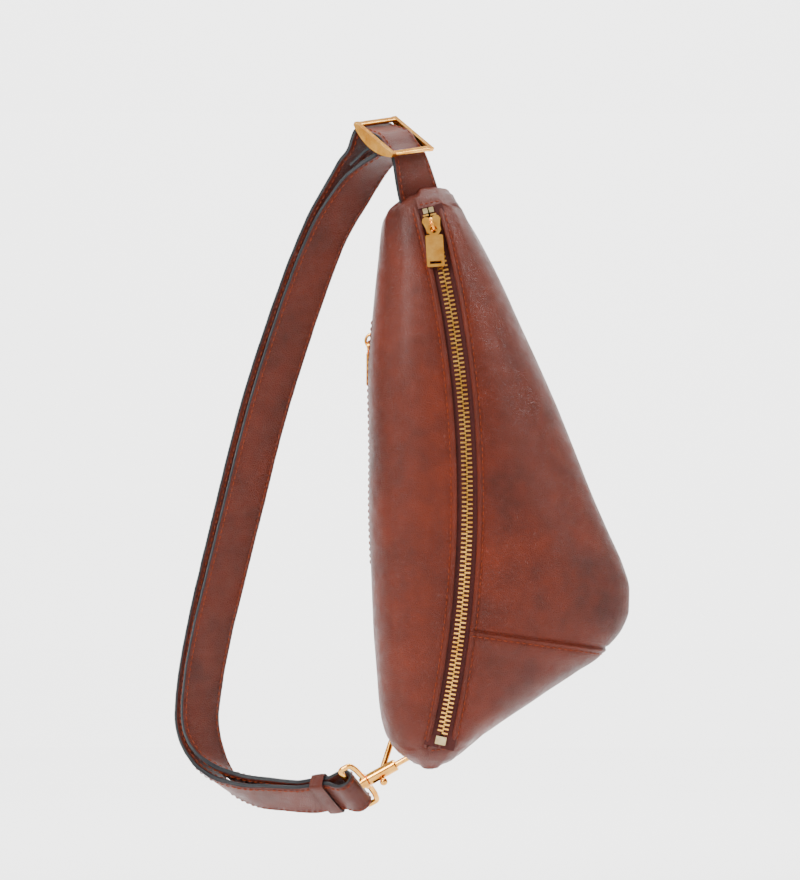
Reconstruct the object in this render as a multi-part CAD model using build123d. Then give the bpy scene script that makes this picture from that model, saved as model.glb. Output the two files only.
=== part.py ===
"""Leather sling bag: a curved three-sided pouch with two zips, hanging from its doubled strap.

Millimetres. +X right, +Y to the back, +Z up. The origin is the point where the strap hangs, in the
plane of the bag's flat back.
"""
from build123d import *
import math
import os

# ---- driving dimensions ---------------------------------------------------------------------------

# pouch outline: height, left edge, right edge. The first row is the top, the last is the bottom.
OUTLINE = [
    (-38.5, 36.5, 50.5),
    (-41.0, 28.0, 53.6),
    (-45.0, 19.0, 56.2),
    (-50.5, 11.6, 59.5),
    (-58.0, 7.2, 63.5),
    (-68.0, 5.4, 69.0),
    (-88.0, 3.6, 79.6),
    (-115.0, 1.2, 92.6),
    (-150.0, -1.6, 108.8),
    (-190.0, -2.4, 126.4),
    (-230.0, -2.0, 142.0),
    (-262.0, -1.5, 155.8),
    (-288.0, -0.6, 167.2),
    (-303.0, 0.2, 171.0),
    (-316.0, 0.9, 170.8),
    (-328.0, 1.5, 166.6),
    (-342.0, 2.4, 155.1),
    (-357.0, 3.4, 136.0),
    (-372.0, 4.4, 113.8),
    (-387.0, 6.2, 91.6),
    (-399.0, 9.4, 74.6),
    (-408.0, 14.6, 63.2),
    (-415.0, 23.0, 54.6),
    (-420.0, 32.0, 45.0),
]
# how full the pouch is near its two closed ends, as a share of the full depth
TOP_FULLNESS = [0.42, 0.58, 0.74, 0.88, 0.97]
BOTTOM_FULLNESS = [0.34, 0.58, 0.78, 0.93]
BACK_Y = 0.0
REAR_SHARE = 0.36
FLAT_BAND_HALF = 10.0
BACK_CORNER_LEFT = 17.0
BACK_CORNER_RIGHT = 26.0
LEFT_ROUNDNESS = 2.1
RIGHT_ROUNDNESS = 1.85
REAR_ROUNDNESS = 2.2
BACK_TRIM = 1.0
WALL = 1.8
LINING_THICKNESS = 0.6
LINING_GAP = 0.2
LINING_REAR_GAP = 0.5
BACK_SEAM_Y = -5.5
LOWER_SEAM_LEFT = (67.0, -329.0)
LOWER_SEAM_RIGHT = (156.0, -342.0)

# front zip: a flat arc that bows to the right and to the front
ZIP_TOP = Vector(37.3, -40.0, -52.0)
ZIP_BOTTOM = Vector(46.0, -51.0, -399.0)
ZIP_BOW = 29.5
TAPE_THICKNESS = 0.7
TAPE_GAP = 1.6
TAPE_DEPTH = 2.3
TOOTH_PITCH = 3.0
TOOTH_WIDTH = 1.15
TOOTH_REACH = 3.5
TOOTH_OVERLAP = 0.35
TOOTH_HEIGHT = 3.2
STOP_HEIGHT = 3.6
TOP_STOP_WIDTH = 3.2
TOP_STOP_PLACE = 2.0

# zip slider and its pull
SLIDER_LENGTH = 11.5
SLIDER_SHOULDER = 1.4
TOOTH_SIDE_CLEARANCE = 0.4
SLOT_CLEARANCE = 1.1
TAPE_UNDER_LEATHER = 2.8
PLATE_THICKNESS = 1.2
SLIDER_CLEARANCE = 0.35
TAPE_CLEARANCE = 0.34
POST_WIDTH = 1.0
POST_LENGTH = 2.4
LIP = 1.0
SLIDER_TAIL_WIDTH = 2.0 * (TOOTH_REACH + TOOTH_SIDE_CLEARANCE + LIP)
SLIDER_WIDTH = SLIDER_TAIL_WIDTH + 2.0 * SLIDER_SHOULDER
ZIP_SLOT_HALF = SLIDER_WIDTH / 2.0 + SLOT_CLEARANCE
TAPE_HALF = ZIP_SLOT_HALF + TAPE_UNDER_LEATHER
BAIL_RADIUS = 4.6
BAIL_WIRE = 0.95
PULL_LENGTH = 30.0
PULL_WIDTH = 11.6
PULL_THICKNESS = 1.6
PULL_RING_RADIUS = 4.4
PULL_HOLE_RADIUS = 2.4
PULL_LIFT = 1.9
PULL_SLOT = (7.6, 1.8)
PULL_SKEW = 11.0

# side zip: straight, on the left wall just behind the outline
SIDE_ZIP_TOP_Z = -127.0
SIDE_ZIP_LENGTH = 157.0
SIDE_ZIP_TURN = 14.0
SIDE_ZIP_Y = -14.0
SIDE_ZIP_SINK = 0.1
SIDE_SLOT_CLEARANCE = 0.6
SIDE_TAPE_UNDER = 1.1
SIDE_SLOT_HALF = SLIDER_WIDTH / 2.0 + SIDE_SLOT_CLEARANCE
SIDE_TAPE_HALF = SIDE_SLOT_HALF + SIDE_TAPE_UNDER
SIDE_SLIDER_START = 10.2
POCKET = Vector(52.0, 4.2, 170.0)

# strap
STRAP_WIDTH = 30.0
STRAP_THICKNESS = 4.0
FOLD_THICKNESS = 3.2
# centre of the doubled strap, its width direction, and half the distance between its two layers
STRAP_LINE = [
    ((-31.9, 3.5, -66.3), (0.735, 0.586, -0.340), 4.6),
    ((-50.5, 9.8, -114.8), (0.810, 0.510, -0.290), 5.0),
    ((-71.7, 18.3, -180.1), (0.835, 0.500, -0.235), 5.4),
    ((-89.6, 27.5, -249.1), (0.845, 0.500, -0.190), 5.4),
    ((-102.8, 34.8, -302.2), (0.850, 0.500, -0.165), 5.0),
    ((-110.2, 39.5, -333.6), (0.855, 0.505, -0.130), 4.4),
    ((-116.2, 44.8, -366.0), (0.845, 0.525, -0.075), 4.0),
    ((-118.6, 49.0, -394.4), (0.789, 0.613, 0.010), 3.8),
    ((-112.8, 50.5, -416.0), (0.680, 0.720, -0.140), 3.6),
    ((-101.5, 48.5, -431.5), (0.520, 0.765, -0.380), 3.6),
    ((-83.0, 43.5, -440.0), (0.440, 0.730, -0.530), 3.4),
    ((-62.0, 35.5, -442.5), (0.440, 0.680, -0.590), 2.6),
]
STRAIGHT_END = -15.0
STRAIGHT_SPARE = 2.0
KEEPER_SETBACK = 21.0
FOLD_WIDTH_DIRECTION = Vector(0.40, 0.66, -0.62)
FOLD_ALONG = Vector(0.93, -0.36, 0.05)
LAYER_GAP = 0.3
# stretches near the buckle: centre, width direction, thickness
BAG_END = [
    ((34.0, -15.0, -50.0), (0.840, 0.470, 0.270), STRAP_THICKNESS),
    ((30.7, -18.0, -40.2), (0.840, 0.470, 0.270), STRAP_THICKNESS),
    ((28.0, -20.0, -29.5), (0.800, 0.560, 0.200), STRAP_THICKNESS),
]
OUTER_TOP = [
    ((-6.6, 6.0, -10.3), (0.600, 0.750, 0.000), STRAP_THICKNESS),
    ((-11.8, 7.2, -20.2), (0.650, 0.700, -0.150), STRAP_THICKNESS),
    ((-18.2, 7.4, -34.0), (0.700, 0.640, -0.280), STRAP_THICKNESS),
]
INNER_TOP = [
    ((-11.5, 0.8, -37.5), (0.700, 0.640, -0.280), STRAP_THICKNESS),
    ((0.9, 0.2, -22.0), (0.600, 0.740, -0.080), STRAP_THICKNESS),
]
TAIL = [
    ((4.2, 0.4, -12.0), (0.670, 0.710, 0.050), 3.0),
    ((-5.0, 4.0, -22.0), (0.620, 0.730, -0.080), 3.0),
]

# slider buckle on the strap
BUCKLE_NEAR = Vector(25.5, -18.0, -13.7)
BUCKLE_FAR = Vector(2.5, 1.0, 6.8)
BUCKLE_RIGHT = Vector(0.70, 0.70, 0.15)
BUCKLE_SIDE_CLEARANCE = 1.0
BUCKLE_INNER_WIDTH = STRAP_WIDTH + 2.0 * BUCKLE_SIDE_CLEARANCE
BUCKLE_BAR = 4.0
BUCKLE_BAR_HEIGHT = 2.4
BUCKLE_BAR_LIFT = 2.0
CENTRE_BAR_RADIUS = 1.5
CENTRE_BAR_DROP = -3.2
BAR_CLEARANCE = 1.2
BAR_FOLD_THICKNESS = 1.8
SIDE_BAR_WIDTH = 3.6

# swivel hook
HOOK_END = Vector(15.3, 4.0, -420.7)
HOOK_ALONG = Vector(0.86, -0.14, 0.49)
HOOK_UP = Vector(-0.33, 0.62, 0.71)
BARREL_WALL = 2.02
BARREL_LENGTH = 21.5
BARREL_FRONT = 1.0
BORE_FLOOR = 1.2
BOLT_RADIUS = 1.9
BOLT_FIT = 0.08
BARREL_RADIUS = BOLT_RADIUS + BOLT_FIT + BARREL_WALL
BOLT_TRAVEL = 5.5
KNOB_RADIUS = 2.6
KNOB_OFFSET = 7.4
KNOB_STEM = 1.0
KNOB_PLACE = -11.3
BOW_RADIUS = 10.5
BOW_CENTRE = (11.0, 10.5)
BOW_WIRE = 2.0
BOW_START = 142.0
BOW_STOP = -85.0
BOLT_GAP = 0.35
NECK_RADIUS = 2.3
NECK_FIT = 0.08
HEAD_LIP = 1.5
HEAD_RADIUS = NECK_RADIUS + HEAD_LIP
HEAD_THICKNESS = 1.6
COLLAR_WALL = 2.62
COLLAR_RADIUS = NECK_RADIUS + NECK_FIT + COLLAR_WALL
COLLAR_LENGTH = 3.4
AXIAL_PLAY = 0.2
EYE_WIRE = 1.9
EYE_SIDE_CLEARANCE = 3.0
EYE_SHOULDER = 7.6
FOLD_SHIFT = 2.5
EYE_HALF_WIDTH = STRAP_WIDTH / 2.0 + FOLD_SHIFT + EYE_SIDE_CLEARANCE
SPRING_WIRE = 0.25

# ring and its tab on the back panel
RING_WIRE = 1.5
RING_HALF_WIDTH = 8.5
RING_DEPTH = 15.0
TAB_THICKNESS = 1.6
TAB_WIDTH = 12.0
TAB_LENGTH = 24.0

# keeper
KEEPER_LENGTH = 10.0
KEEPER_THICKNESS = 1.6
KEEPER_CLEARANCE = 0.5
KEEPER_TRAVEL = 10.0

parts = {}


def unit(vector):
    return vector * (1.0 / vector.length)


# ---- front zip frame: x right, y into the pouch, z up, origin at the middle of the arc --------------

chord = ZIP_BOTTOM - ZIP_TOP
ZIP_UP = unit(chord) * -1.0
ZIP_RADIUS = (chord.length ** 2 / 4.0 + ZIP_BOW ** 2) / (2.0 * ZIP_BOW)
ZIP_HALF_ANGLE = math.degrees(math.asin(chord.length / 2.0 / ZIP_RADIUS))
ZIP_RIGHT = unit(Vector(1, 0, 0) - ZIP_UP * ZIP_UP.X)
ZIP_IN = ZIP_UP.cross(ZIP_RIGHT)
ZIP_MIDDLE = (ZIP_TOP + ZIP_BOTTOM) * 0.5 + unit(ZIP_RIGHT - ZIP_IN) * ZIP_BOW
zip_plane = Plane(origin=ZIP_MIDDLE, x_dir=ZIP_RIGHT, z_dir=ZIP_UP)
SWING = ZIP_RADIUS / math.sqrt(2.0)
zip_axis = Axis((-SWING, SWING, 0), (1, 1, 0))


def along_zip(shape, angle):
    """Carry a shape made at the middle of the arc down the zip by an angle in degrees."""
    return zip_plane.location * shape.rotate(zip_axis, angle)


def arc_angle(length):
    return math.degrees(length / ZIP_RADIUS)


def ridge_point(height):
    """The point of the zip's arc at a height, carried on past its ends."""
    angle = 0.0
    for _ in range(6):
        bow = SWING * (math.cos(angle) - 1.0)
        offset = ZIP_RIGHT * bow - ZIP_IN * bow
        drop = ZIP_MIDDLE.Z + offset.Z - height
        angle = math.asin(drop / (ZIP_RADIUS * ZIP_UP.Z))
    bow = SWING * (math.cos(angle) - 1.0)
    return ZIP_MIDDLE + ZIP_RIGHT * bow - ZIP_IN * bow - ZIP_UP * (ZIP_RADIUS * math.sin(angle))


# ---- pouch -----------------------------------------------------------------------------------------

def fullness(index):
    if index < len(TOP_FULLNESS):
        return TOP_FULLNESS[index]
    from_bottom = len(OUTLINE) - 1 - index
    if from_bottom < len(BOTTOM_FULLNESS):
        return BOTTOM_FULLNESS[from_bottom]
    return 1.0


def quarter(centre, reach_x, reach_y, power, start, stop):
    """Points of a quarter of a superellipse, angles in degrees from +X."""
    points = []
    for step in range(6):
        angle = math.radians(start + (stop - start) * step / 5.0)
        cosine = math.cos(angle)
        sine = math.sin(angle)
        x = centre[0] + math.copysign(reach_x * abs(cosine) ** (2.0 / power), cosine)
        y = centre[1] + math.copysign(reach_y * abs(sine) ** (2.0 / power), sine)
        points.append((x, y))
    return points


def pouch_section(index, inset, rear_shift):
    """One level slice of the pouch, moved in by the inset on every side, its back shifted along Y."""
    height, left, right = OUTLINE[index]
    ridge = ridge_point(height)
    full_middle = BACK_Y + REAR_SHARE * (ridge.Y - BACK_Y)
    share = fullness(index)
    front_y = full_middle + share * (ridge.Y - full_middle) + inset
    back_y = full_middle + share * (BACK_Y + rear_shift - full_middle) - inset
    left += inset
    right -= inset
    band_left = min(FLAT_BAND_HALF, 0.4 * (ridge.X - left))
    band_right = min(FLAT_BAND_HALF, 0.4 * (right - ridge.X))
    corner_left = min(BACK_CORNER_LEFT, 0.4 * (right - left))
    corner_right = min(BACK_CORNER_RIGHT, 0.4 * (right - left))
    left_x = ridge.X - band_left
    right_x = ridge.X + band_right
    depth = full_middle - front_y
    rear = back_y - full_middle
    right_side = quarter((right_x, full_middle), right - right_x, depth, RIGHT_ROUNDNESS, -90, 0)
    right_side += quarter((right - corner_right, full_middle), corner_right, rear, REAR_ROUNDNESS, 0, 90)[1:]
    left_side = quarter((left + corner_left, full_middle), corner_left, rear, REAR_ROUNDNESS, 90, 180)
    left_side += quarter((left_x, full_middle), left_x - left, depth, LEFT_ROUNDNESS, 180, 270)[1:]
    level = Plane.XY.offset(height)
    with BuildSketch(level) as sketch:
        with BuildLine():
            Line((left_x, front_y), (right_x, front_y))
            Spline(*right_side, tangents=[(1, 0), (-1, 0)])
            Line(right_side[-1], left_side[0])
            Spline(*left_side, tangents=[(-1, 0), (1, 0)])
        make_face()
    return sketch.sketch.faces()[0]


def pouch_solid(inset, rear_shift=BACK_TRIM):
    """The pouch's closed shape, moved in by the inset, its back cut flat where it stands proud."""
    faces = [pouch_section(index, inset, rear_shift) for index in range(len(OUTLINE))]
    shape = loft(faces)
    if rear_shift > 0:
        shape = shape - Pos(90, BACK_Y - inset + 50, -230) * Box(400, 100, 600)
    if inset > 0:
        top = OUTLINE[0][0] - inset
        bottom = OUTLINE[-1][0] + inset
        middle = (top + bottom) / 2.0
        shape = shape & Pos(90, -40, middle) * Box(400, 200, top - bottom)
    return shape


def front_prism(outline, near=-110.0, far=20.0):
    """A block along Y over an outline of (x, z) points."""
    points = [Vector(x, near, z) for x, z in outline]
    face = make_face(Polyline(*points, close=True))
    return extrude(face, amount=far - near, dir=(0, 1, 0))


def ridge_line(shift, top, bottom, count=24):
    """Points (x, z) beside the zip's arc, from a top height to a bottom height."""
    rows = []
    for step in range(count + 1):
        height = top + (bottom - top) * step / count
        rows.append((ridge_point(height).X + shift, height))
    return rows


outer = pouch_solid(0.0)
inner = pouch_solid(WALL)
shell = outer - inner

back_block = Pos(90, BACK_SEAM_Y + 60, -230) * Box(400, 120, 600)
front_shell = shell - back_block
parts["back_panel"] = shell & back_block

slot_top = ZIP_TOP.Z + 3.0
slot_bottom = ZIP_BOTTOM.Z - 10.0
slot_outline = ridge_line(-ZIP_SLOT_HALF, slot_top, slot_bottom)
slot_outline += reversed(ridge_line(ZIP_SLOT_HALF, slot_top, slot_bottom))
slot = front_prism(slot_outline, far=-24.0)
right_outline = ridge_line(0.0, -30.0, -430.0) + [(260.0, -430.0), (260.0, -30.0)]
right_block = front_prism(right_outline)
seam_left = Vector(*LOWER_SEAM_LEFT)
seam_right = Vector(*LOWER_SEAM_RIGHT)
seam_step = unit(seam_right - seam_left)
seam_a = seam_left - seam_step * 60.0
seam_b = seam_right + seam_step * 80.0
lower_outline = [(seam_a.X, seam_a.Y), (seam_b.X, seam_b.Y), (seam_b.X, -470.0), (seam_a.X, -470.0)]
lower_block = front_prism(lower_outline)

panels = front_shell - slot
parts["left_panel"] = panels - right_block
right_panels = panels & right_block
parts["front_panel"] = right_panels - lower_block
parts["lower_panel"] = right_panels & lower_block

# lining: a thin bag inside the panels, open along the zip
lining_inset = WALL + LINING_GAP
lining_outer = pouch_solid(lining_inset, -LINING_REAR_GAP)
lining_inner = pouch_solid(lining_inset + LINING_THICKNESS, -LINING_REAR_GAP)
lining_slot = ridge_line(-TAPE_HALF - 3.0, -44.0, -414.0)
lining_slot += reversed(ridge_line(TAPE_HALF + 3.0, -44.0, -414.0))
lining_cut = front_prism(lining_slot, far=-26.0)
parts["lining"] = lining_outer - lining_inner - lining_cut


# ---- zips ------------------------------------------------------------------------------------------

def rounded_block(width, length, thickness, radius):
    """A plate in the zip frame: width along x, thickness along y, length along z."""
    plate = Box(width, thickness, length)
    return fillet(plate.edges().filter_by(Axis.Y), radius)


def without(shape, neighbours):
    """The shape with the room of each neighbour taken out of it."""
    for neighbour in neighbours:
        shape = shape - neighbour
    return shape


def tooth(side, splay=0.0):
    """One zip tooth round the tape's edge, its head over the centre line or splayed away from it."""
    outer_x = side * (TOOTH_REACH + splay)
    inner_x = side * (splay - TOOTH_OVERLAP)
    middle_y = TAPE_DEPTH + TAPE_THICKNESS / 2.0
    body = Box(TOOTH_REACH + TOOTH_OVERLAP, TOOTH_HEIGHT, TOOTH_WIDTH)
    body = Pos((outer_x + inner_x) / 2.0, middle_y, 0) * body
    slit = Pos(side * (TAPE_GAP / 2.0 + 3.0), middle_y, 0) * Box(6.0, TAPE_THICKNESS, 2 * TOOTH_WIDTH)
    return body - slit


def slider_outline(grow):
    """The slider plate seen from the front: two lobes at the top, a narrow tail."""
    half = SLIDER_WIDTH / 2.0 + grow
    tail = SLIDER_TAIL_WIDTH / 2.0 + grow
    top = SLIDER_LENGTH / 2.0 + grow
    right = [(0, top - 2.6), (1.6, top - 0.7), (3.6, top), (5.4, top - 0.9), (half, top - 3.0),
             (half - 0.7, 0.6), (tail, -2.4), (tail, -top + 1.2), (tail - 1.2, -top)]
    left = [(-x, z) for x, z in reversed(right[1:])]
    return right + left


def plate_at(outline, near_y, far_y):
    """A plate over an outline of (x, z) points, between two depths."""
    points = [Vector(x, near_y, z) for x, z in outline]
    return extrude(make_face(Polyline(*points, close=True)), amount=far_y - near_y, dir=(0, 1, 0))


TAPE_MIDDLE = TAPE_DEPTH + TAPE_THICKNESS / 2.0
CHANNEL_HALF = TOOTH_HEIGHT / 2.0 + SLIDER_CLEARANCE
FRONT_PLATE_Y = TAPE_MIDDLE - CHANNEL_HALF - PLATE_THICKNESS
PIVOT_Y = FRONT_PLATE_Y


def zip_slider():
    """Slider body: front and back plates, side lips, centre post and the bail over the front."""
    outline = slider_outline(0.0)
    front = plate_at(outline, FRONT_PLATE_Y, FRONT_PLATE_Y + PLATE_THICKNESS)
    back_y = TAPE_MIDDLE + CHANNEL_HALF
    back = plate_at(outline, back_y, back_y + PLATE_THICKNESS)
    lip_length = SLIDER_LENGTH - 4.0
    gap = TAPE_THICKNESS / 2.0 + TAPE_CLEARANCE
    lip_height = CHANNEL_HALF - gap
    lips = None
    for side in (-1, 1):
        x = side * (SLIDER_TAIL_WIDTH / 2.0 - LIP / 2.0)
        for direction in (-1, 1):
            y = TAPE_MIDDLE + direction * (gap + lip_height / 2.0 + 0.1)
            lip = Pos(x, y, -1.6) * Box(LIP, lip_height + 0.2, lip_length)
            lips = lip if lips is None else lips + lip
    post_height = 2.0 * CHANNEL_HALF + 0.4
    post = Pos(0, TAPE_MIDDLE, SLIDER_LENGTH / 2.0 - 4.2) * Box(POST_WIDTH, post_height, POST_LENGTH)
    bail_ring = Pos(0, PIVOT_Y, -0.6) * Rot(0, 90, 0) * Torus(BAIL_RADIUS, BAIL_WIRE)
    bail = bail_ring & Pos(0, PIVOT_Y - 9.7, 0) * Box(20, 20, 20)
    return front + back + lips + post + bail


PULL_TOP_Z = -0.6 - math.sqrt(BAIL_RADIUS ** 2 - PULL_LIFT ** 2)


def zip_pull(skew):
    """The pull: a ring round the bail's lower leg, a plain bar with a slot near its end."""
    y = PIVOT_Y - PULL_LIFT
    ring = Rot(90, 0, 0) * Cylinder(PULL_RING_RADIUS, PULL_THICKNESS)
    bar_length = PULL_LENGTH - PULL_RING_RADIUS - 3.6
    bar = Pos(0, 0, -3.6 - bar_length / 2.0) * rounded_block(PULL_WIDTH, bar_length, PULL_THICKNESS, 1.2)
    hole = Rot(90, 0, 0) * Cylinder(PULL_HOLE_RADIUS, 3 * PULL_THICKNESS)
    slot_cut = Pos(0, 0, -3.6 - bar_length + 3.0) * Box(PULL_SLOT[0], 3 * PULL_THICKNESS, PULL_SLOT[1])
    pull = ring + bar - hole - slot_cut
    return Pos(0, y, PULL_TOP_Z) * Rot(0, skew, 0) * pull


def zip_teeth(side, first, last, carry, phase):
    """A row of separate teeth between two distances along the zip."""
    teeth = []
    shape = tooth(side)
    place = first + phase
    while place < last:
        teeth.append(carry(shape, place))
        place += TOOTH_PITCH
    for step in range(SPLAYED_TEETH):
        splayed = tooth(side, FIRST_SPLAY + SPLAY_STEP * step)
        teeth.append(carry(splayed, first - POST_ZONE - step * TOOTH_PITCH + phase * 0.3))
    return Compound(children=teeth)


# the front zip, by distance down the arc from its middle
half_arc = math.radians(ZIP_HALF_ANGLE) * ZIP_RADIUS
SLIDER_START = -half_arc + 10.2
FIRST_TOOTH = 0.6
POST_ZONE = 4.8
SPLAYED_TEETH = 2
FIRST_SPLAY = 0.8
SPLAY_STEP = 0.1


def carry_main(shape, distance):
    return along_zip(shape, arc_angle(distance))


def main_tape(side):
    near_x = side * TAPE_GAP / 2.0
    far_x = side * TAPE_HALF
    corners = [Vector(near_x, TAPE_DEPTH, 0), Vector(far_x, TAPE_DEPTH, 0),
               Vector(far_x, TAPE_DEPTH + TAPE_THICKNESS, 0), Vector(near_x, TAPE_DEPTH + TAPE_THICKNESS, 0)]
    face = make_face(Polyline(*corners, close=True))
    start = -ZIP_HALF_ANGLE - arc_angle(3.0)
    sweep_angle = 2.0 * ZIP_HALF_ANGLE + arc_angle(12.0)
    strip = revolve(face.rotate(zip_axis, start), axis=zip_axis, revolution_arc=sweep_angle)
    return zip_plane.location * strip


def stop_block(width, length):
    return Pos(0, TAPE_MIDDLE, 0) * rounded_block(width, length, STOP_HEIGHT, 0.5)


parts["zip_tape_left"] = main_tape(-1)
parts["zip_tape_right"] = main_tape(1)
teeth_first = SLIDER_START + FIRST_TOOTH
teeth_last = half_arc - 1.2
parts["zip_teeth_left"] = zip_teeth(-1, teeth_first, teeth_last, carry_main, 0.0)
parts["zip_teeth_right"] = zip_teeth(1, teeth_first, teeth_last, carry_main, TOOTH_PITCH / 2.0)
front_tapes = [parts["zip_tape_left"], parts["zip_tape_right"]]
for node in ("left_panel", "front_panel", "lower_panel"):
    parts[node] = without(parts[node], front_tapes)
top_stops = []
for side in (-1, 1):
    top_stop = carry_main(Pos(side * TOP_STOP_PLACE, 0, 0) * stop_block(TOP_STOP_WIDTH, 3.6), -half_arc)
    top_stops.append(without(top_stop, front_tapes))
parts["zip_top_stop"] = Compound(children=top_stops)
bottom_stop = carry_main(stop_block(7.0, 5.6), half_arc + 2.6)
parts["zip_bottom_stop"] = without(bottom_stop, front_tapes)
parts["main_zip_slider"] = carry_main(zip_slider(), SLIDER_START)
parts["main_zip_pull"] = carry_main(zip_pull(PULL_SKEW), SLIDER_START)

# leather tabs over the two ends of the front zip
tab_skin = pouch_solid(-1.5) - pouch_solid(-0.05)
top_tab_outline = [(28.6, -43.6), (43.4, -39.4), (46.0, -48.0), (30.6, -51.4)]
bottom_tab_outline = [(37.0, -405.4), (54.0, -402.6), (51.6, -415.6), (38.2, -416.0)]
top_tab = tab_skin & front_prism(top_tab_outline, far=-20.0)
bottom_tab = tab_skin & front_prism(bottom_tab_outline, far=-24.0)
parts["zip_end_tab_top"] = without(top_tab, front_tapes)
parts["zip_end_tab_bottom"] = without(bottom_tab, front_tapes + [parts["zip_bottom_stop"]])


# ---- side zip: x towards the front, y into the pouch, z up, origin at its top on the left wall -------

def rear_wall_point(height, y):
    """A point of the left wall behind the outline, from the same curve as the pouch's slices."""
    rows = list(zip(OUTLINE, OUTLINE[1:]))
    upper, lower = next(pair for pair in rows if pair[1][0] <= height)
    share = (height - upper[0]) / (lower[0] - upper[0])
    left = upper[1] + share * (lower[1] - upper[1])
    middle = BACK_Y + REAR_SHARE * (ridge_point(height).Y - BACK_Y)
    rise = (y - middle) / (BACK_Y + BACK_TRIM - middle)
    run = (1.0 - rise ** REAR_ROUNDNESS) ** (1.0 / REAR_ROUNDNESS)
    return Vector(left + BACK_CORNER_LEFT * (1.0 - run), y, height)


side_top = rear_wall_point(SIDE_ZIP_TOP_Z, SIDE_ZIP_Y)
side_bottom = rear_wall_point(SIDE_ZIP_TOP_Z - SIDE_ZIP_LENGTH, SIDE_ZIP_Y)
SIDE_UP = unit(side_top - side_bottom)
side_turn = math.radians(SIDE_ZIP_TURN)
side_in = Vector(math.cos(side_turn), -math.sin(side_turn), 0)
side_in = unit(side_in - SIDE_UP * side_in.dot(SIDE_UP))
SIDE_RIGHT = side_in.cross(SIDE_UP)
side_plane = Plane(origin=side_top + side_in * SIDE_ZIP_SINK, x_dir=SIDE_RIGHT, z_dir=SIDE_UP)


def carry_side(shape, distance):
    return side_plane.location * (Pos(0, 0, -distance) * shape)


side_cut_length = SIDE_ZIP_LENGTH + 6.0
side_slot = rounded_block(2.0 * SIDE_SLOT_HALF, side_cut_length, 16.0, 3.0)
parts["left_panel"] = parts["left_panel"] - carry_side(side_slot, SIDE_ZIP_LENGTH / 2.0)
lining_window = Box(2.0 * SIDE_TAPE_HALF + 2.0, 24.0, SIDE_ZIP_LENGTH + 14.0)
parts["lining"] = parts["lining"] - carry_side(lining_window, SIDE_ZIP_LENGTH / 2.0)
for side, name in ((-1, "back"), (1, "front")):
    tape_width = SIDE_TAPE_HALF - TAPE_GAP / 2.0
    tape_middle = side * (TAPE_GAP + tape_width * 2.0) / 4.0 + side * TAPE_GAP / 4.0
    tape = Pos(tape_middle, TAPE_MIDDLE, 0) * Box(tape_width, TAPE_THICKNESS, SIDE_ZIP_LENGTH + 10.0)
    parts["side_zip_tape_" + name] = carry_side(tape, SIDE_ZIP_LENGTH / 2.0)
    phase = 0.0 if side < 0 else TOOTH_PITCH / 2.0
    row = zip_teeth(side, SIDE_SLIDER_START + FIRST_TOOTH, SIDE_ZIP_LENGTH - 3.0, carry_side, phase)
    parts["side_zip_teeth_" + name] = row
side_tapes = [parts["side_zip_tape_back"], parts["side_zip_tape_front"]]
parts["left_panel"] = without(parts["left_panel"], side_tapes)
side_stops = [carry_side(stop_block(7.0, 4.0), SIDE_ZIP_LENGTH)]
for side in (-1, 1):
    side_stops.append(carry_side(Pos(side * TOP_STOP_PLACE, 0, 0) * stop_block(TOP_STOP_WIDTH, 3.4), 0.3))
parts["side_zip_stops"] = Compound(children=[without(stop, side_tapes) for stop in side_stops])
parts["side_zip_slider"] = carry_side(zip_slider(), SIDE_SLIDER_START)
parts["side_zip_pull"] = carry_side(zip_pull(0.0), SIDE_SLIDER_START)

# pocket behind the side zip: a thin flat pouch by the back panel, its mouth towards the zip
lining_face_y = BACK_Y - lining_inset - LINING_THICKNESS - LINING_REAR_GAP
pocket_y = lining_face_y - 0.4 - POCKET.Y / 2.0
pocket_z = SIDE_ZIP_TOP_Z - SIDE_ZIP_LENGTH / 2.0
pocket_x = side_top.X + 13.0 + POCKET.X / 2.0
pocket_room = Box(POCKET.X, POCKET.Y - 2.0 * LINING_THICKNESS, POCKET.Z - 2.0 * LINING_THICKNESS)
pocket_shell = Box(POCKET.X, POCKET.Y, POCKET.Z) - Pos(-2.0 * LINING_THICKNESS, 0, 0) * pocket_room
parts["side_pocket_lining"] = Pos(pocket_x, pocket_y, pocket_z) * pocket_shell


# ---- swivel hook: x along the barrel, y towards the bow, origin at the barrel's mouth -----------------

HOOK_X = unit(HOOK_ALONG)
HOOK_Y = unit(HOOK_UP - HOOK_X * HOOK_UP.dot(HOOK_X))
hook_plane = Plane(origin=HOOK_END, x_dir=HOOK_X, z_dir=HOOK_X.cross(HOOK_Y))


def rod(start, stop, radius):
    """A cylinder along x between two distances."""
    return Pos((start + stop) / 2.0, 0, 0) * Rot(0, 90, 0) * Cylinder(radius, stop - start)


barrel_back = BARREL_FRONT - BARREL_LENGTH
bore_back = barrel_back + BORE_FLOOR
bolt_tip = BOW_CENTRE[0] + BOW_RADIUS * math.cos(math.radians(BOW_STOP)) - BOLT_GAP
bolt_rear = KNOB_PLACE - KNOB_STEM - 0.9
collar_back = barrel_back - AXIAL_PLAY - COLLAR_LENGTH
head_front = collar_back - AXIAL_PLAY
head_back = head_front - HEAD_THICKNESS
eye_bar_x = head_back - EYE_WIRE - 3.2 - 0.3 - 0.8

barrel = rod(barrel_back, BARREL_FRONT, BARREL_RADIUS)
barrel = chamfer(barrel.edges().filter_by(GeomType.CIRCLE), 0.6)
neck = rod(head_front - 0.1, barrel_back + 0.1, NECK_RADIUS)
head = rod(head_back, head_front, HEAD_RADIUS)
bow_start_angle = math.radians(BOW_START)
bow_stop_angle = math.radians(BOW_STOP)


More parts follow.
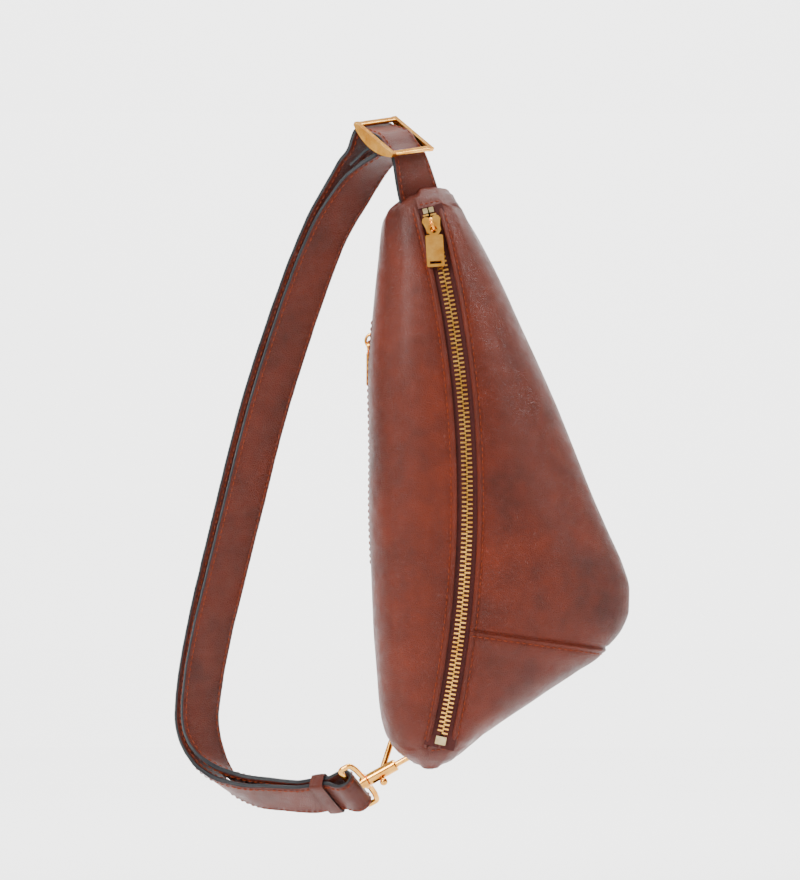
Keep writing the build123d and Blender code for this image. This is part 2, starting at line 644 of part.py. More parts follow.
def bow_point(angle):
    centre = Vector(BOW_CENTRE[0], BOW_CENTRE[1], 0)
    return centre + Vector(math.cos(angle), math.sin(angle), 0) * BOW_RADIUS


bow_tangent = bow_point(bow_start_angle)
bow_direction = Vector(math.sin(bow_start_angle), -math.cos(bow_start_angle), 0)
bow_root = bow_tangent - bow_direction * ((bow_tangent.Y - 2.4) / bow_direction.Y)
bow_path = Line(bow_root, bow_tangent) + ThreePointArc(bow_tangent, bow_point(0.5), bow_point(bow_stop_angle))
bow_profile = Plane(origin=bow_root, z_dir=bow_direction) * Circle(BOW_WIRE)
bow = sweep(bow_profile, path=bow_path)
bore = rod(bore_back, BARREL_FRONT + 1.0, BOLT_RADIUS + BOLT_FIT)
slot_back = KNOB_PLACE - BOLT_TRAVEL - KNOB_STEM - 0.4
slot_front = KNOB_PLACE + KNOB_STEM + 0.3
knob_slot = Box(slot_front - slot_back, 6.0, 2.0 * KNOB_STEM + 0.6)
knob_slot = Pos((slot_back + slot_front) / 2.0, -3.0, 0) * knob_slot
hook_body = barrel + neck + head + bow - bore - knob_slot
parts["hook_body"] = hook_plane.location * hook_body

bolt = rod(bolt_rear, bolt_tip, BOLT_RADIUS)
stem = Pos(KNOB_PLACE, -KNOB_OFFSET / 2.0, 0) * Rot(90, 0, 0) * Cylinder(KNOB_STEM, KNOB_OFFSET)
knob = Pos(KNOB_PLACE, -KNOB_OFFSET, 0) * Sphere(KNOB_RADIUS)
parts["hook_bolt"] = hook_plane.location * (bolt + stem + knob)

spring_length = bolt_rear - bore_back - 2.0 * SPRING_WIRE - 0.1
spring_path = Helix(pitch=spring_length / 4.0, height=spring_length, radius=BOLT_RADIUS - 0.6)
spring_start = Plane(origin=spring_path @ 0, z_dir=spring_path % 0) * Circle(SPRING_WIRE)
spring = sweep(spring_start, path=spring_path, is_frenet=True)
spring_x = bore_back + SPRING_WIRE + 0.05
parts["bolt_spring"] = hook_plane.location * (Pos(spring_x, 0, 0) * Rot(0, 90, 0) * spring)


# ---- eye of the hook and the strap's fold round it: x along, y across the strap's width --------------

FOLD_W = unit(FOLD_WIDTH_DIRECTION - HOOK_X * FOLD_WIDTH_DIRECTION.dot(HOOK_X))
eye_centre = HOOK_END + HOOK_X * eye_bar_x
eye_plane = Plane(origin=eye_centre, x_dir=HOOK_X, z_dir=HOOK_X.cross(FOLD_W))
collar_x = collar_back + COLLAR_LENGTH / 2.0 - eye_bar_x
half = EYE_HALF_WIDTH
wire_end = COLLAR_RADIUS - 0.4
eye_points = [(collar_x, wire_end), (collar_x - 0.6, 14.0), (EYE_SHOULDER, half), (0, half),
              (0, -half), (EYE_SHOULDER, -half), (collar_x - 0.6, -14.0), (collar_x, -wire_end)]
eye_path = FilletPolyline(*eye_points, radius=2.4)
eye_start = Plane(origin=eye_path @ 0, z_dir=eye_path % 0) * Circle(EYE_WIRE)
eye_loop = sweep(eye_start, path=eye_path)
collar = Pos(collar_x, 0, 0) * Rot(0, 90, 0) * Cylinder(COLLAR_RADIUS, COLLAR_LENGTH)
collar_bore = Pos(collar_x, 0, 0) * Rot(0, 90, 0) * Cylinder(NECK_RADIUS + NECK_FIT, 3.0 * COLLAR_LENGTH)
parts["swivel_eye"] = eye_plane.location * (eye_loop + collar - collar_bore)


# ---- strap: ribbons lofted through slices, each slice a centre, a width direction and a thickness -----

def ribbon(stations):
    """A strap stretch through slices of (centre, width direction, normal, thickness)."""
    faces = []
    for centre, across, normal, thickness in stations:
        side = across * (STRAP_WIDTH / 2.0)
        up = normal * (thickness / 2.0)
        corners = [centre - side - up, centre + side - up, centre + side + up, centre - side + up]
        faces.append(make_face(Polyline(*corners, close=True)))
    return loft(faces)


def with_normals(rows):
    """Add each slice's normal, square to the width and to the run of the centres."""
    stations = []
    for index, (centre, across, thickness) in enumerate(rows):
        before = rows[max(index - 1, 0)][0]
        after = rows[min(index + 1, len(rows) - 1)][0]
        along = unit(after - before)
        stations.append((centre, unit(across), unit(along.cross(across)), thickness))
    return stations


def as_rows(table):
    return [(Vector(*centre), Vector(*across), thickness) for centre, across, thickness in table]


# the buckle's own frame: x to the strap's right edge, y from the near bar to the far bar, z outwards
BUCKLE_V = unit(BUCKLE_FAR - BUCKLE_NEAR)
BUCKLE_U = unit(BUCKLE_RIGHT - BUCKLE_V * BUCKLE_RIGHT.dot(BUCKLE_V))
BUCKLE_N = BUCKLE_U.cross(BUCKLE_V)
buckle_centre = (BUCKLE_NEAR + BUCKLE_FAR) * 0.5
buckle_plane = Plane(origin=buckle_centre, x_dir=BUCKLE_U, z_dir=BUCKLE_N)
bar_reach = (BUCKLE_FAR - BUCKLE_NEAR).length / 2.0


def in_buckle(along, height, thickness):
    place = buckle_centre + BUCKLE_V * along + BUCKLE_N * height
    return (place, BUCKLE_U, thickness)


under_bar = BUCKLE_BAR_LIFT - BUCKLE_BAR_HEIGHT / 2.0 - BAR_CLEARANCE - STRAP_THICKNESS / 2.0
fold_top = CENTRE_BAR_DROP + CENTRE_BAR_RADIUS + 0.1 + BAR_FOLD_THICKNESS
over_bar = fold_top + 0.5 + STRAP_THICKNESS / 2.0
crown = [
    in_buckle(-bar_reach + 0.5, under_bar, STRAP_THICKNESS),
    in_buckle(-bar_reach * 0.5, (under_bar + over_bar) / 2.0, STRAP_THICKNESS),
    in_buckle(0.0, over_bar, STRAP_THICKNESS),
    in_buckle(bar_reach * 0.5, (under_bar + over_bar) / 2.0, STRAP_THICKNESS),
    in_buckle(bar_reach - 0.8, under_bar, STRAP_THICKNESS),
]
crown_end = in_buckle(bar_reach + 2.8, under_bar - 3.2, STRAP_THICKNESS)
bag_rows = as_rows(BAG_END) + crown
pouch_end = ribbon(with_normals(bag_rows + [crown_end])[:-1])
parts["strap_bag_end"] = pouch_end - outer

# the doubled run: both layers lie beside one middle line
middle_rows = [(Vector(*centre), Vector(*across), spread) for centre, across, spread in STRAP_LINE]
FOLD_T = unit(FOLD_ALONG - FOLD_W * FOLD_ALONG.dot(FOLD_W))
fold_origin = eye_centre + FOLD_W * FOLD_SHIFT
layer_half = (STRAP_THICKNESS + LAYER_GAP) / 2.0
STRAIGHT_START = -(KEEPER_SETBACK + KEEPER_LENGTH / 2.0 + KEEPER_TRAVEL + STRAIGHT_SPARE)
middle_rows.append((fold_origin + FOLD_T * STRAIGHT_START, FOLD_W, layer_half))
fold_plane = Plane(origin=fold_origin, x_dir=FOLD_T, z_dir=FOLD_W * -1.0)


def layer_rows(direction):
    """One layer of the doubled run, from the top down to the fold at the hook."""
    rows = []
    for index, (centre, across, normal, spread) in enumerate(with_normals(middle_rows)):
        if index >= len(STRAP_LINE):
            normal = FOLD_T.cross(FOLD_W)
        rows.append((centre + normal * (direction * spread), across, STRAP_THICKNESS))
    return rows


def run_stations(rows):
    """Slices of a run whose last slice is square to the fold at the hook."""
    stations = with_normals(rows)
    centre, across, _, thickness = stations[-1]
    stations[-1] = (centre, across, FOLD_T.cross(FOLD_W), thickness)
    return stations


def straight_stretch(direction):
    """The straight end of one layer, where the keeper slides."""
    block = Box(STRAIGHT_END - STRAIGHT_START, STRAP_THICKNESS, STRAP_WIDTH)
    middle = (STRAIGHT_START + STRAIGHT_END) / 2.0
    return fold_plane.location * (Pos(middle, direction * layer_half, 0) * block)


outer_rows = [crown[-1], crown_end] + as_rows(OUTER_TOP) + layer_rows(-1)
outer_stations = run_stations(outer_rows)
outer_stations[0] = with_normals(bag_rows + [crown_end])[-2]
parts["strap_outer_run"] = ribbon(outer_stations) + straight_stretch(-1)

wrap_radius = CENTRE_BAR_RADIUS + 0.1 + BAR_FOLD_THICKNESS / 2.0
INNER_JOIN_Z = CENTRE_BAR_DROP - 6.0
inner_join_s = -wrap_radius - 0.1
inner_join = in_buckle(inner_join_s, INNER_JOIN_Z, STRAP_THICKNESS)
inner_rows = [inner_join] + as_rows(INNER_TOP)[::-1] + layer_rows(1)
inner_stations = run_stations(inner_rows)
inner_stations[0] = (inner_join[0], BUCKLE_U, BUCKLE_V * -1.0, STRAP_THICKNESS)
inner_facing = inner_stations[1][2]
for index, (centre, across, normal, thickness) in enumerate(inner_stations):
    if normal.dot(inner_facing) < 0:
        inner_stations[index] = (centre, across, normal * -1.0, thickness)
inner_run = ribbon(inner_stations) + straight_stretch(1)
parts["strap_inner_run"] = inner_run - parts["strap_outer_run"]

# the end of the inner layer, wrapped over the centre bar, and the tail it comes down to
wrap_inner = CENTRE_BAR_RADIUS + 0.1
wrap_outer = wrap_inner + BAR_FOLD_THICKNESS
tail_join = CENTRE_BAR_DROP - 2.4
join_near = (inner_join_s - STRAP_THICKNESS / 2.0, INNER_JOIN_Z)
join_far = (inner_join_s + STRAP_THICKNESS / 2.0, INNER_JOIN_Z)
outside_near = (-wrap_outer, CENTRE_BAR_DROP)
outside_far = (wrap_outer, CENTRE_BAR_DROP)
inside_near = (-wrap_inner, CENTRE_BAR_DROP)
inside_far = (wrap_inner, CENTRE_BAR_DROP)
wrap_line = [
    Line(outside_near, join_near),
    Line(join_near, join_far),
    Line(join_far, inside_near),
    ThreePointArc(inside_near, (0, CENTRE_BAR_DROP + wrap_inner), inside_far),
    Line(inside_far, (wrap_inner, tail_join)),
    Line((wrap_inner, tail_join), (wrap_outer, tail_join)),
    Line((wrap_outer, tail_join), outside_far),
    ThreePointArc(outside_far, (0, CENTRE_BAR_DROP + wrap_outer), outside_near),
]
wrap_plane = Plane(origin=buckle_centre, x_dir=BUCKLE_V, z_dir=BUCKLE_U)
wrap = wrap_plane.location * extrude(make_face(wrap_line), amount=STRAP_WIDTH / 2.0, both=True)
tail_rows = [in_buckle(wrap_radius, tail_join, BAR_FOLD_THICKNESS)] + as_rows(TAIL)
tail_stations = []
for centre, across, normal, thickness in with_normals(tail_rows):
    facing = normal if normal.dot(BUCKLE_V) > 0 else normal * -1.0
    tail_stations.append((centre, across, facing, thickness))
tail_stations[0] = (tail_rows[0][0], BUCKLE_U, BUCKLE_V, BAR_FOLD_THICKNESS)
parts["strap_bar_fold"] = wrap + ribbon(tail_stations)

# the open fold round the eye's bar, an even profile carried across the strap's width
nose = EYE_WIRE + 0.3 + FOLD_THICKNESS / 2.0
fold_half = [(STRAIGHT_END, layer_half, STRAP_THICKNESS), (-12.0, 2.7, 3.8), (-8.6, 4.5, 3.4),
             (-4.4, 6.0, FOLD_THICKNESS), (-0.4, 5.6, FOLD_THICKNESS), (nose - 1.0, 2.9, FOLD_THICKNESS)]
fold_line = fold_half + [(nose, 0.0, FOLD_THICKNESS)] + [(x, -y, t) for x, y, t in fold_half[::-1]]
fold_sides = {1: [], -1: []}
for index, (x, y, thickness) in enumerate(fold_line):
    before = fold_line[max(index - 1, 0)]
    after = fold_line[min(index + 1, len(fold_line) - 1)]
    along = unit(Vector(after[0] - before[0], after[1] - before[1], 0))
    if index in (0, len(fold_line) - 1):
        along = Vector(1 if index == 0 else -1, 0, 0)
    for direction in fold_sides:
        shift = Vector(-along.Y, along.X, 0) * (direction * thickness / 2.0)
        fold_sides[direction].append(Vector(x, y, 0) + shift)
fold_edge = Spline(*fold_sides[1], tangents=[(1, 0), (-1, 0)])
fold_inside = Spline(*fold_sides[-1], tangents=[(1, 0), (-1, 0)])
fold_ends = [Line(fold_sides[1][0], fold_sides[-1][0]), Line(fold_sides[1][-1], fold_sides[-1][-1])]
fold_face = make_face([fold_edge, fold_inside] + fold_ends)
fold_block = extrude(fold_face, amount=STRAP_WIDTH / 2.0, both=True)
parts["strap_hook_fold"] = fold_plane.location * fold_block

# keeper: a leather band round both layers
keeper_height = 2.0 * STRAP_THICKNESS + LAYER_GAP + 2.0 * KEEPER_CLEARANCE
keeper_width = STRAP_WIDTH + 2.0 * KEEPER_CLEARANCE
keeper_outer = Box(KEEPER_LENGTH, keeper_height + 2 * KEEPER_THICKNESS, keeper_width + 2 * KEEPER_THICKNESS)
keeper_outer = fillet(keeper_outer.edges().filter_by(Axis.X), 1.4)
keeper = keeper_outer - Box(2.0 * KEEPER_LENGTH, keeper_height, keeper_width)
parts["strap_keeper"] = fold_plane.location * (Pos(-KEEPER_SETBACK, 0, 0) * keeper)


# ---- slider buckle -----------------------------------------------------------------------------------

frame_width = BUCKLE_INNER_WIDTH + 2.0 * SIDE_BAR_WIDTH
cross_bar = Box(frame_width, BUCKLE_BAR, BUCKLE_BAR_HEIGHT)
cross_bar = fillet(cross_bar.edges().filter_by(Axis.X), 0.8)
buckle = Pos(0, -bar_reach, BUCKLE_BAR_LIFT) * cross_bar + Pos(0, bar_reach, BUCKLE_BAR_LIFT) * cross_bar
side_top_z = BUCKLE_BAR_LIFT + BUCKLE_BAR_HEIGHT / 2.0
side_low_z = BUCKLE_BAR_LIFT - BUCKLE_BAR_HEIGHT / 2.0
side_reach = bar_reach + BUCKLE_BAR / 2.0
side_deep_z = CENTRE_BAR_DROP - CENTRE_BAR_RADIUS - 0.2
for side in (-1, 1):
    x = side * (BUCKLE_INNER_WIDTH + SIDE_BAR_WIDTH) / 2.0 - SIDE_BAR_WIDTH / 2.0
    low_arc = ThreePointArc((x, -side_reach, side_low_z), (x, 0, side_deep_z), (x, side_reach, side_low_z))
    rim = Polyline((x, side_reach, side_low_z), (x, side_reach, side_top_z),
                   (x, -side_reach, side_top_z), (x, -side_reach, side_low_z))
    buckle += extrude(make_face([low_arc] + list(rim.edges())), amount=SIDE_BAR_WIDTH, dir=(1, 0, 0))
centre_bar = Rot(0, 90, 0) * Cylinder(CENTRE_BAR_RADIUS, BUCKLE_INNER_WIDTH + 2.0)
buckle += Pos(0, 0, CENTRE_BAR_DROP) * centre_bar
parts["strap_buckle"] = buckle_plane.location * buckle


# ---- ring and tab on the back panel ------------------------------------------------------------------

RING_SEAT = (BOW_CENTRE[0] + 3.6, BOW_CENTRE[1] - 0.4)
ring_apex = HOOK_END + HOOK_X * RING_SEAT[0] + HOOK_Y * RING_SEAT[1]
RING_PULL = unit(Vector(HOOK_X.X, 0, HOOK_X.Z))
ring_bar = ring_apex + RING_PULL * RING_DEPTH
ring_plane = Plane(origin=ring_bar, x_dir=RING_PULL * -1.0, z_dir=(0, -1, 0))
leg = RING_DEPTH - RING_HALF_WIDTH
ring = Rot(90, 0, 0) * Cylinder(RING_WIRE, 2.0 * RING_HALF_WIDTH)
for side in (-1, 1):
    ring += Pos(0, side * RING_HALF_WIDTH, 0) * Sphere(RING_WIRE)
    ring += Pos(leg / 2.0, side * RING_HALF_WIDTH, 0) * Rot(0, 90, 0) * Cylinder(RING_WIRE, leg)
ring += Pos(leg, 0, 0) * (Torus(RING_HALF_WIDTH, RING_WIRE) & Pos(20, 0, 0) * Box(40, 60, 20))
parts["d_ring"] = ring_plane.location * ring

tab_plane = Plane(origin=ring_bar, x_dir=RING_PULL, z_dir=RING_PULL.cross(Vector(0, 1, 0)))
tab_hole = RING_WIRE + 0.1
tab_round = tab_hole + TAB_THICKNESS
panel_drop = BACK_Y - ring_bar.Y
tail_points = [(0.6, tab_round - 0.1), (9.0, panel_drop + 2.0 * TAB_THICKNESS),
               (TAB_LENGTH, panel_drop + 2.0 * TAB_THICKNESS), (TAB_LENGTH, panel_drop),
               (7.0, panel_drop), (0.6, -tab_round + 0.1)]
tab_tail = make_face(Polyline(*[Vector(x, y, 0) for x, y in tail_points], close=True))
tab = extrude(tab_tail, amount=TAB_WIDTH / 2.0, both=True) + Cylinder(tab_round, TAB_WIDTH)
tab = tab - Cylinder(tab_hole, 2.0 * TAB_WIDTH)
parts["ring_tab"] = tab_plane.location * tab


# ---- files -------------------------------------------------------------------------------------------

os.makedirs("parts", exist_ok=True)
for node, shape in parts.items():
    export_step(shape, f"parts/{node}.step")
print(len(parts), "nodes written")
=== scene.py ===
"""Looks of the leather sling bag: skin of the pouch, strap, stitches, zip tapes, light and camera."""
import bmesh
import bpy
import math
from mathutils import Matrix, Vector, noise


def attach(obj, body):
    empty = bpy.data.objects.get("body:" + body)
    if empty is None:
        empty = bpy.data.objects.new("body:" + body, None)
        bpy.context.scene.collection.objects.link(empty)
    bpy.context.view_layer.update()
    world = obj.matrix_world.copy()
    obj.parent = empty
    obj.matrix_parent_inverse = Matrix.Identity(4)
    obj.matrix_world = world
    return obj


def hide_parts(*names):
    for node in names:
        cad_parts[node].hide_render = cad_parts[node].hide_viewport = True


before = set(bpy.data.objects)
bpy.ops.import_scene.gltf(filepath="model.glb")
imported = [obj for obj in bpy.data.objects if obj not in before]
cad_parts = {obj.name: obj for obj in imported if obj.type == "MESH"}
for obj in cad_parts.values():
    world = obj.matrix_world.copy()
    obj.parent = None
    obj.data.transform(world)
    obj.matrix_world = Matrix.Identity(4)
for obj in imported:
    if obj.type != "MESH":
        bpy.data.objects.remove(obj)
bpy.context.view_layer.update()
MM = 0.001

# ---- sizes in millimetres, the same frame as the solids ----------------------------------------------

# pouch slices: height, left edge, right edge, share of the full depth
OUTLINE = [
    (-38.5, 36.5, 50.5, 0.42), (-41.0, 28.0, 53.6, 0.58), (-45.0, 19.0, 56.2, 0.74),
    (-50.5, 11.6, 59.5, 0.88), (-58.0, 7.2, 63.5, 0.97), (-68.0, 5.4, 69.0, 1.0),
    (-88.0, 3.6, 79.6, 1.0), (-115.0, 1.2, 92.6, 1.0), (-150.0, -1.6, 108.8, 1.0),
    (-190.0, -2.4, 126.4, 1.0), (-230.0, -2.0, 142.0, 1.0), (-262.0, -1.5, 155.8, 1.0),
    (-288.0, -0.6, 167.2, 1.0), (-303.0, 0.2, 171.0, 1.0), (-316.0, 0.9, 170.8, 1.0),
    (-328.0, 1.5, 166.6, 1.0), (-342.0, 2.4, 155.1, 1.0), (-357.0, 3.4, 136.0, 1.0),
    (-372.0, 4.4, 113.8, 1.0), (-387.0, 6.2, 91.6, 1.0), (-399.0, 9.4, 74.6, 0.93),
    (-408.0, 14.6, 63.2, 0.78), (-415.0, 23.0, 54.6, 0.58), (-420.0, 32.0, 45.0, 0.34),
]
ZIP_TOP = Vector((37.3, -40.0, -52.0))
ZIP_BOTTOM = Vector((46.0, -51.0, -399.0))
ZIP_BOW = 29.5
SLOT_HALF = 7.4
REAR_SHARE = 0.36
REAR_CUT = 1.0
BAND = 10.0
NARROW_SHARE = 0.4
LEFT_POWER = 2.1
RIGHT_POWER = 1.85
REAR_POWER = 2.2
LEFT_CORNER = 17.0
RIGHT_CORNER = 26.0
FRONT_STEPS = 25
REAR_STEPS = 14
STRAP_WIDTH = 30.0
STRAP_THICKNESS = 4.0
STITCH_PITCH = 4.2
STITCH_INSET = 3.0
SEAM_LEFT = (67.0, -329.0)
SEAM_SLOPE = -13.0 / 89.0
LINING_INSET = 4.6
# share of a panel's columns that roll in under the zip's edge, and the size of that roll
ROLL = 0.05
ROLL_RADIUS = 0.9
CAP_SHARE = 0.03
TOP_CAP_RISE = 2.4
BOTTOM_CAP_DROP = 2.0
# centre of the doubled strap, its width direction, and half the distance between its two layers
STRAP_LINE = [
    ((-31.9, 3.5, -66.3), (0.735, 0.586, -0.340), 4.6),
    ((-50.5, 9.8, -114.8), (0.810, 0.510, -0.290), 5.0),
    ((-71.7, 18.3, -180.1), (0.835, 0.500, -0.235), 5.4),
    ((-89.6, 27.5, -249.1), (0.845, 0.500, -0.190), 5.4),
    ((-102.8, 34.8, -302.2), (0.850, 0.500, -0.165), 5.0),
    ((-110.2, 39.5, -333.6), (0.855, 0.505, -0.130), 4.4),
    ((-116.2, 44.8, -366.0), (0.845, 0.525, -0.075), 4.0),
    ((-118.6, 49.0, -394.4), (0.789, 0.613, 0.010), 3.8),
    ((-112.8, 50.5, -416.0), (0.680, 0.720, -0.140), 3.6),
    ((-101.5, 48.5, -431.5), (0.520, 0.765, -0.380), 3.6),
    ((-83.0, 43.5, -440.0), (0.440, 0.730, -0.530), 3.4),
    ((-62.0, 35.5, -442.5), (0.440, 0.680, -0.590), 2.6),
]


def unit(vector):
    return vector.normalized()


def mix(a, b, share):
    return a + (b - a) * share


def smooth(low, high, value):
    share = min(max((value - low) / (high - low), 0.0), 1.0)
    return share * share * (3.0 - 2.0 * share)


def bell(value, centre, width):
    return math.exp(-((value - centre) / width) ** 2)


def curve_through(values, places, place):
    """A smooth curve through values at rising places, with slopes held flat at turning points."""
    index = 0
    while index < len(places) - 2 and places[index + 1] < place:
        index += 1
    steps = [(values[i + 1] - values[i]) / (places[i + 1] - places[i]) for i in range(len(places) - 1)]

    def slope(i):
        if i == 0:
            return steps[0]
        if i == len(steps):
            return steps[-1]
        if steps[i - 1] * steps[i] <= 0:
            return 0.0
        return 2.0 * steps[i - 1] * steps[i] / (steps[i - 1] + steps[i])

    width = places[index + 1] - places[index]
    t = (place - places[index]) / width
    a = (1 + 2 * t) * (1 - t) ** 2 * values[index] + t * (1 - t) ** 2 * width * slope(index)
    return a + t * t * (3 - 2 * t) * values[index + 1] + t * t * (t - 1) * width * slope(index + 1)


# ---- the zip's arc and the pouch's slices ---------------------------------------------------------------

ZIP_UP = unit(ZIP_TOP - ZIP_BOTTOM)
CHORD = (ZIP_TOP - ZIP_BOTTOM).length
RADIUS = (CHORD ** 2 / 4.0 + ZIP_BOW ** 2) / (2.0 * ZIP_BOW)
ZIP_RIGHT = unit(Vector((1, 0, 0)) - ZIP_UP * ZIP_UP.x)
ZIP_IN = ZIP_UP.cross(ZIP_RIGHT)
ZIP_MIDDLE = (ZIP_TOP + ZIP_BOTTOM) * 0.5 + unit(ZIP_RIGHT - ZIP_IN) * ZIP_BOW
SWING = RADIUS / math.sqrt(2.0)
HALF_ANGLE = math.asin(CHORD / 2.0 / RADIUS)
HALF_ARC = HALF_ANGLE * RADIUS


def zip_place(x, y, distance):
    """A point beside the zip: across, inwards, and down its arc from the middle."""
    angle = distance / RADIUS
    bow = (math.cos(angle) - 1.0) * SWING
    lift = (x - y) / 2.0
    across = bow + x + (math.cos(angle) - 1.0) * lift
    inward = -bow + y - (math.cos(angle) - 1.0) * lift
    drop = math.sin(angle) * (RADIUS + (x - y) / math.sqrt(2.0))
    return ZIP_MIDDLE + ZIP_RIGHT * across + ZIP_IN * inward - ZIP_UP * drop


def ridge(height):
    """The point of the zip's arc at a height, carried on past its ends."""
    angle = 0.0
    for _ in range(6):
        bow = SWING * (math.cos(angle) - 1.0)
        offset = ZIP_RIGHT * bow - ZIP_IN * bow
        angle = math.asin((ZIP_MIDDLE.z + offset.z - height) / (RADIUS * ZIP_UP.z))
    bow = SWING * (math.cos(angle) - 1.0)
    return ZIP_MIDDLE + ZIP_RIGHT * bow - ZIP_IN * bow - ZIP_UP * (RADIUS * math.sin(angle))


DEPTHS = [-row[0] for row in OUTLINE]


def slot_half(height):
    """Half the width of the front zip's slot, closing at its two ends."""
    return 0.15 + SLOT_HALF * smooth(-47.0, -50.5, height) * smooth(-409.5, -405.5, height)


SECTIONS = {}


def section(height, side):
    """Points (x, y) of one side of a slice, from the zip's slot round to the flat back, with lengths."""
    key = (round(height, 3), side)
    if key in SECTIONS:
        return SECTIONS[key]
    left, right, share = (curve_through([row[i] for row in OUTLINE], DEPTHS, -height) for i in (1, 2, 3))
    top = ridge(height)
    middle = REAR_SHARE * top.y
    front = middle + share * (top.y - middle)
    back = min(middle + share * (REAR_CUT - middle), 0.0)
    edge = right if side > 0 else left
    reach = abs(edge - top.x)
    band = min(BAND, NARROW_SHARE * reach)
    power = RIGHT_POWER if side > 0 else LEFT_POWER
    corner = min(RIGHT_CORNER if side > 0 else LEFT_CORNER, NARROW_SHARE * (right - left))
    slot = min(slot_half(height), band * 0.9)
    points = [(top.x + side * slot, front), (top.x + side * mix(slot, band, 0.5), front)]
    for step in range(FRONT_STEPS):
        angle = math.pi / 2 * (1 - step / (FRONT_STEPS - 1))
        x = (reach - band) * math.cos(angle) ** (2 / power)
        points.append((top.x + side * (band + x), middle + (front - middle) * math.sin(angle) ** (2 / power)))
    for step in range(1, REAR_STEPS + 1):
        angle = math.pi / 2 * step / REAR_STEPS
        x = corner * (1 - math.cos(angle) ** (2 / REAR_POWER))
        points.append((edge - side * x, middle + (back - middle) * math.sin(angle) ** (2 / REAR_POWER)))
    centre = (left + right) / 2
    points.append((mix(points[-1][0], centre, 0.5), back))
    points.append((centre, back))
    lengths = [0.0]
    for before, after in zip(points, points[1:]):
        lengths.append(lengths[-1] + math.hypot(after[0] - before[0], after[1] - before[1]))
    SECTIONS[key] = (points, lengths)
    return SECTIONS[key]


def on_skin(height, side, distance):
    """The point of the pouch at a height, a distance round from the zip's slot."""
    points, lengths = section(height, side)
    distance = min(max(distance, 0.0), lengths[-1])
    index = 0
    while index < len(lengths) - 2 and lengths[index + 1] < distance:
        index += 1
    share = (distance - lengths[index]) / max(lengths[index + 1] - lengths[index], 1e-9)
    a, b = points[index], points[index + 1]
    return Vector((mix(a[0], b[0], share), mix(a[1], b[1], share), height))


def skin_normal(height, side, distance):
    """The outward direction of the smooth skin, from its slopes round and up."""
    last = section(height, side)[1][-1]
    high = min(height + 1.0, OUTLINE[0][0])
    low = max(height - 1.0, OUTLINE[-1][0])
    ahead = on_skin(height, side, min(distance + 0.8, last))
    behind = on_skin(height, side, max(distance - 0.8, 0.0))
    across = ahead - behind
    upward = on_skin(high, side, distance) - on_skin(low, side, distance)
    normal = across.cross(upward) * side
    return unit(normal) if normal.length > 1e-6 else Vector((0, -1, 0))


# ---- meshes ---------------------------------------------------------------------------------------------

def add_grid(mesh, across, down, place):
    """Adds a grid whose points go where place(u, v) says, in millimetres."""
    layer = mesh.loops.layers.uv.verify()
    made = bmesh.ops.create_grid(mesh, x_segments=across, y_segments=down, size=1.0, calc_uvs=True)
    for vert in made["verts"]:
        vert.co = place((vert.co.x + 1) / 2, (vert.co.y + 1) / 2) * MM
    return layer


def finished(mesh, name, materials, body, pick=None, replaces=(), sharp=0.9):
    """Turns a bmesh into a named piece that rides on a body."""
    layer = mesh.loops.layers.uv.verify()
    if pick:
        for face in mesh.faces:
            u = sum(loop[layer].uv.x for loop in face.loops) / len(face.loops)
            v = sum(loop[layer].uv.y for loop in face.loops) / len(face.loops)
            face.material_index = pick(u, v)
    bmesh.ops.remove_doubles(mesh, verts=mesh.verts, dist=2e-6)
    bmesh.ops.recalc_face_normals(mesh, faces=mesh.faces)
    for face in mesh.faces:
        face.smooth = True
    for edge in mesh.edges:
        edge.smooth = edge.calc_face_angle(0.0) < sharp
    data = bpy.data.meshes.new(name)
    mesh.to_mesh(data)
    mesh.free()
    piece = bpy.data.objects.new(name, data)
    bpy.context.scene.collection.objects.link(piece)
    for material in materials:
        data.materials.append(material)
    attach(piece, body)
    if replaces:
        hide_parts(*replaces)
    return piece


# ---- materials ------------------------------------------------------------------------------------------

PLATED = {"metallic": 1.0, "strength": 0.25}
CAST = {"metallic": 1.0, "strength": 0.3}


def colour(red, green, blue):
    """A colour from its 0 to 255 screen values."""
    linear = [((c / 255 + 0.055) / 1.055) ** 2.4 if c > 10 else c / 255 / 12.92 for c in (red, green, blue)]
    return (*linear, 1.0)


def effect_group(name, outputs, fill):
    """A shared effect: a node group with these outputs, filled in by fill(tree, coordinates, output)."""
    tree = bpy.data.node_groups.new(name, "ShaderNodeTree")
    for label in outputs:
        tree.interface.new_socket(name=label, in_out="OUTPUT", socket_type="NodeSocketFloat")
    place = tree.nodes.new("ShaderNodeTexCoord")
    output = tree.nodes.new("NodeGroupOutput")
    fill(tree, place.outputs["Object"], output)
    return tree


def noise_node(tree, place, scale, detail, roughness=0.5):
    node = tree.nodes.new("ShaderNodeTexNoise")
    node.inputs["Scale"].default_value = scale
    node.inputs["Detail"].default_value = detail
    node.inputs["Roughness"].default_value = roughness
    tree.links.new(place, node.inputs["Vector"])
    return node.outputs["Fac"]


def ranged(tree, value, low, high, to_low=0.0, to_high=1.0):
    node = tree.nodes.new("ShaderNodeMapRange")
    for label, number in (("From Min", low), ("From Max", high), ("To Min", to_low), ("To Max", to_high)):
        node.inputs[label].default_value = number
    tree.links.new(value, node.inputs["Value"])
    return node.outputs["Result"]


def sums(tree, operation, a, b):
    node = tree.nodes.new("ShaderNodeMath")
    node.operation = operation
    for index, value in enumerate((a, b)):
        if isinstance(value, (int, float)):
            node.inputs[index].default_value = value
        else:
            tree.links.new(value, node.inputs[index])
    return node.outputs["Value"]


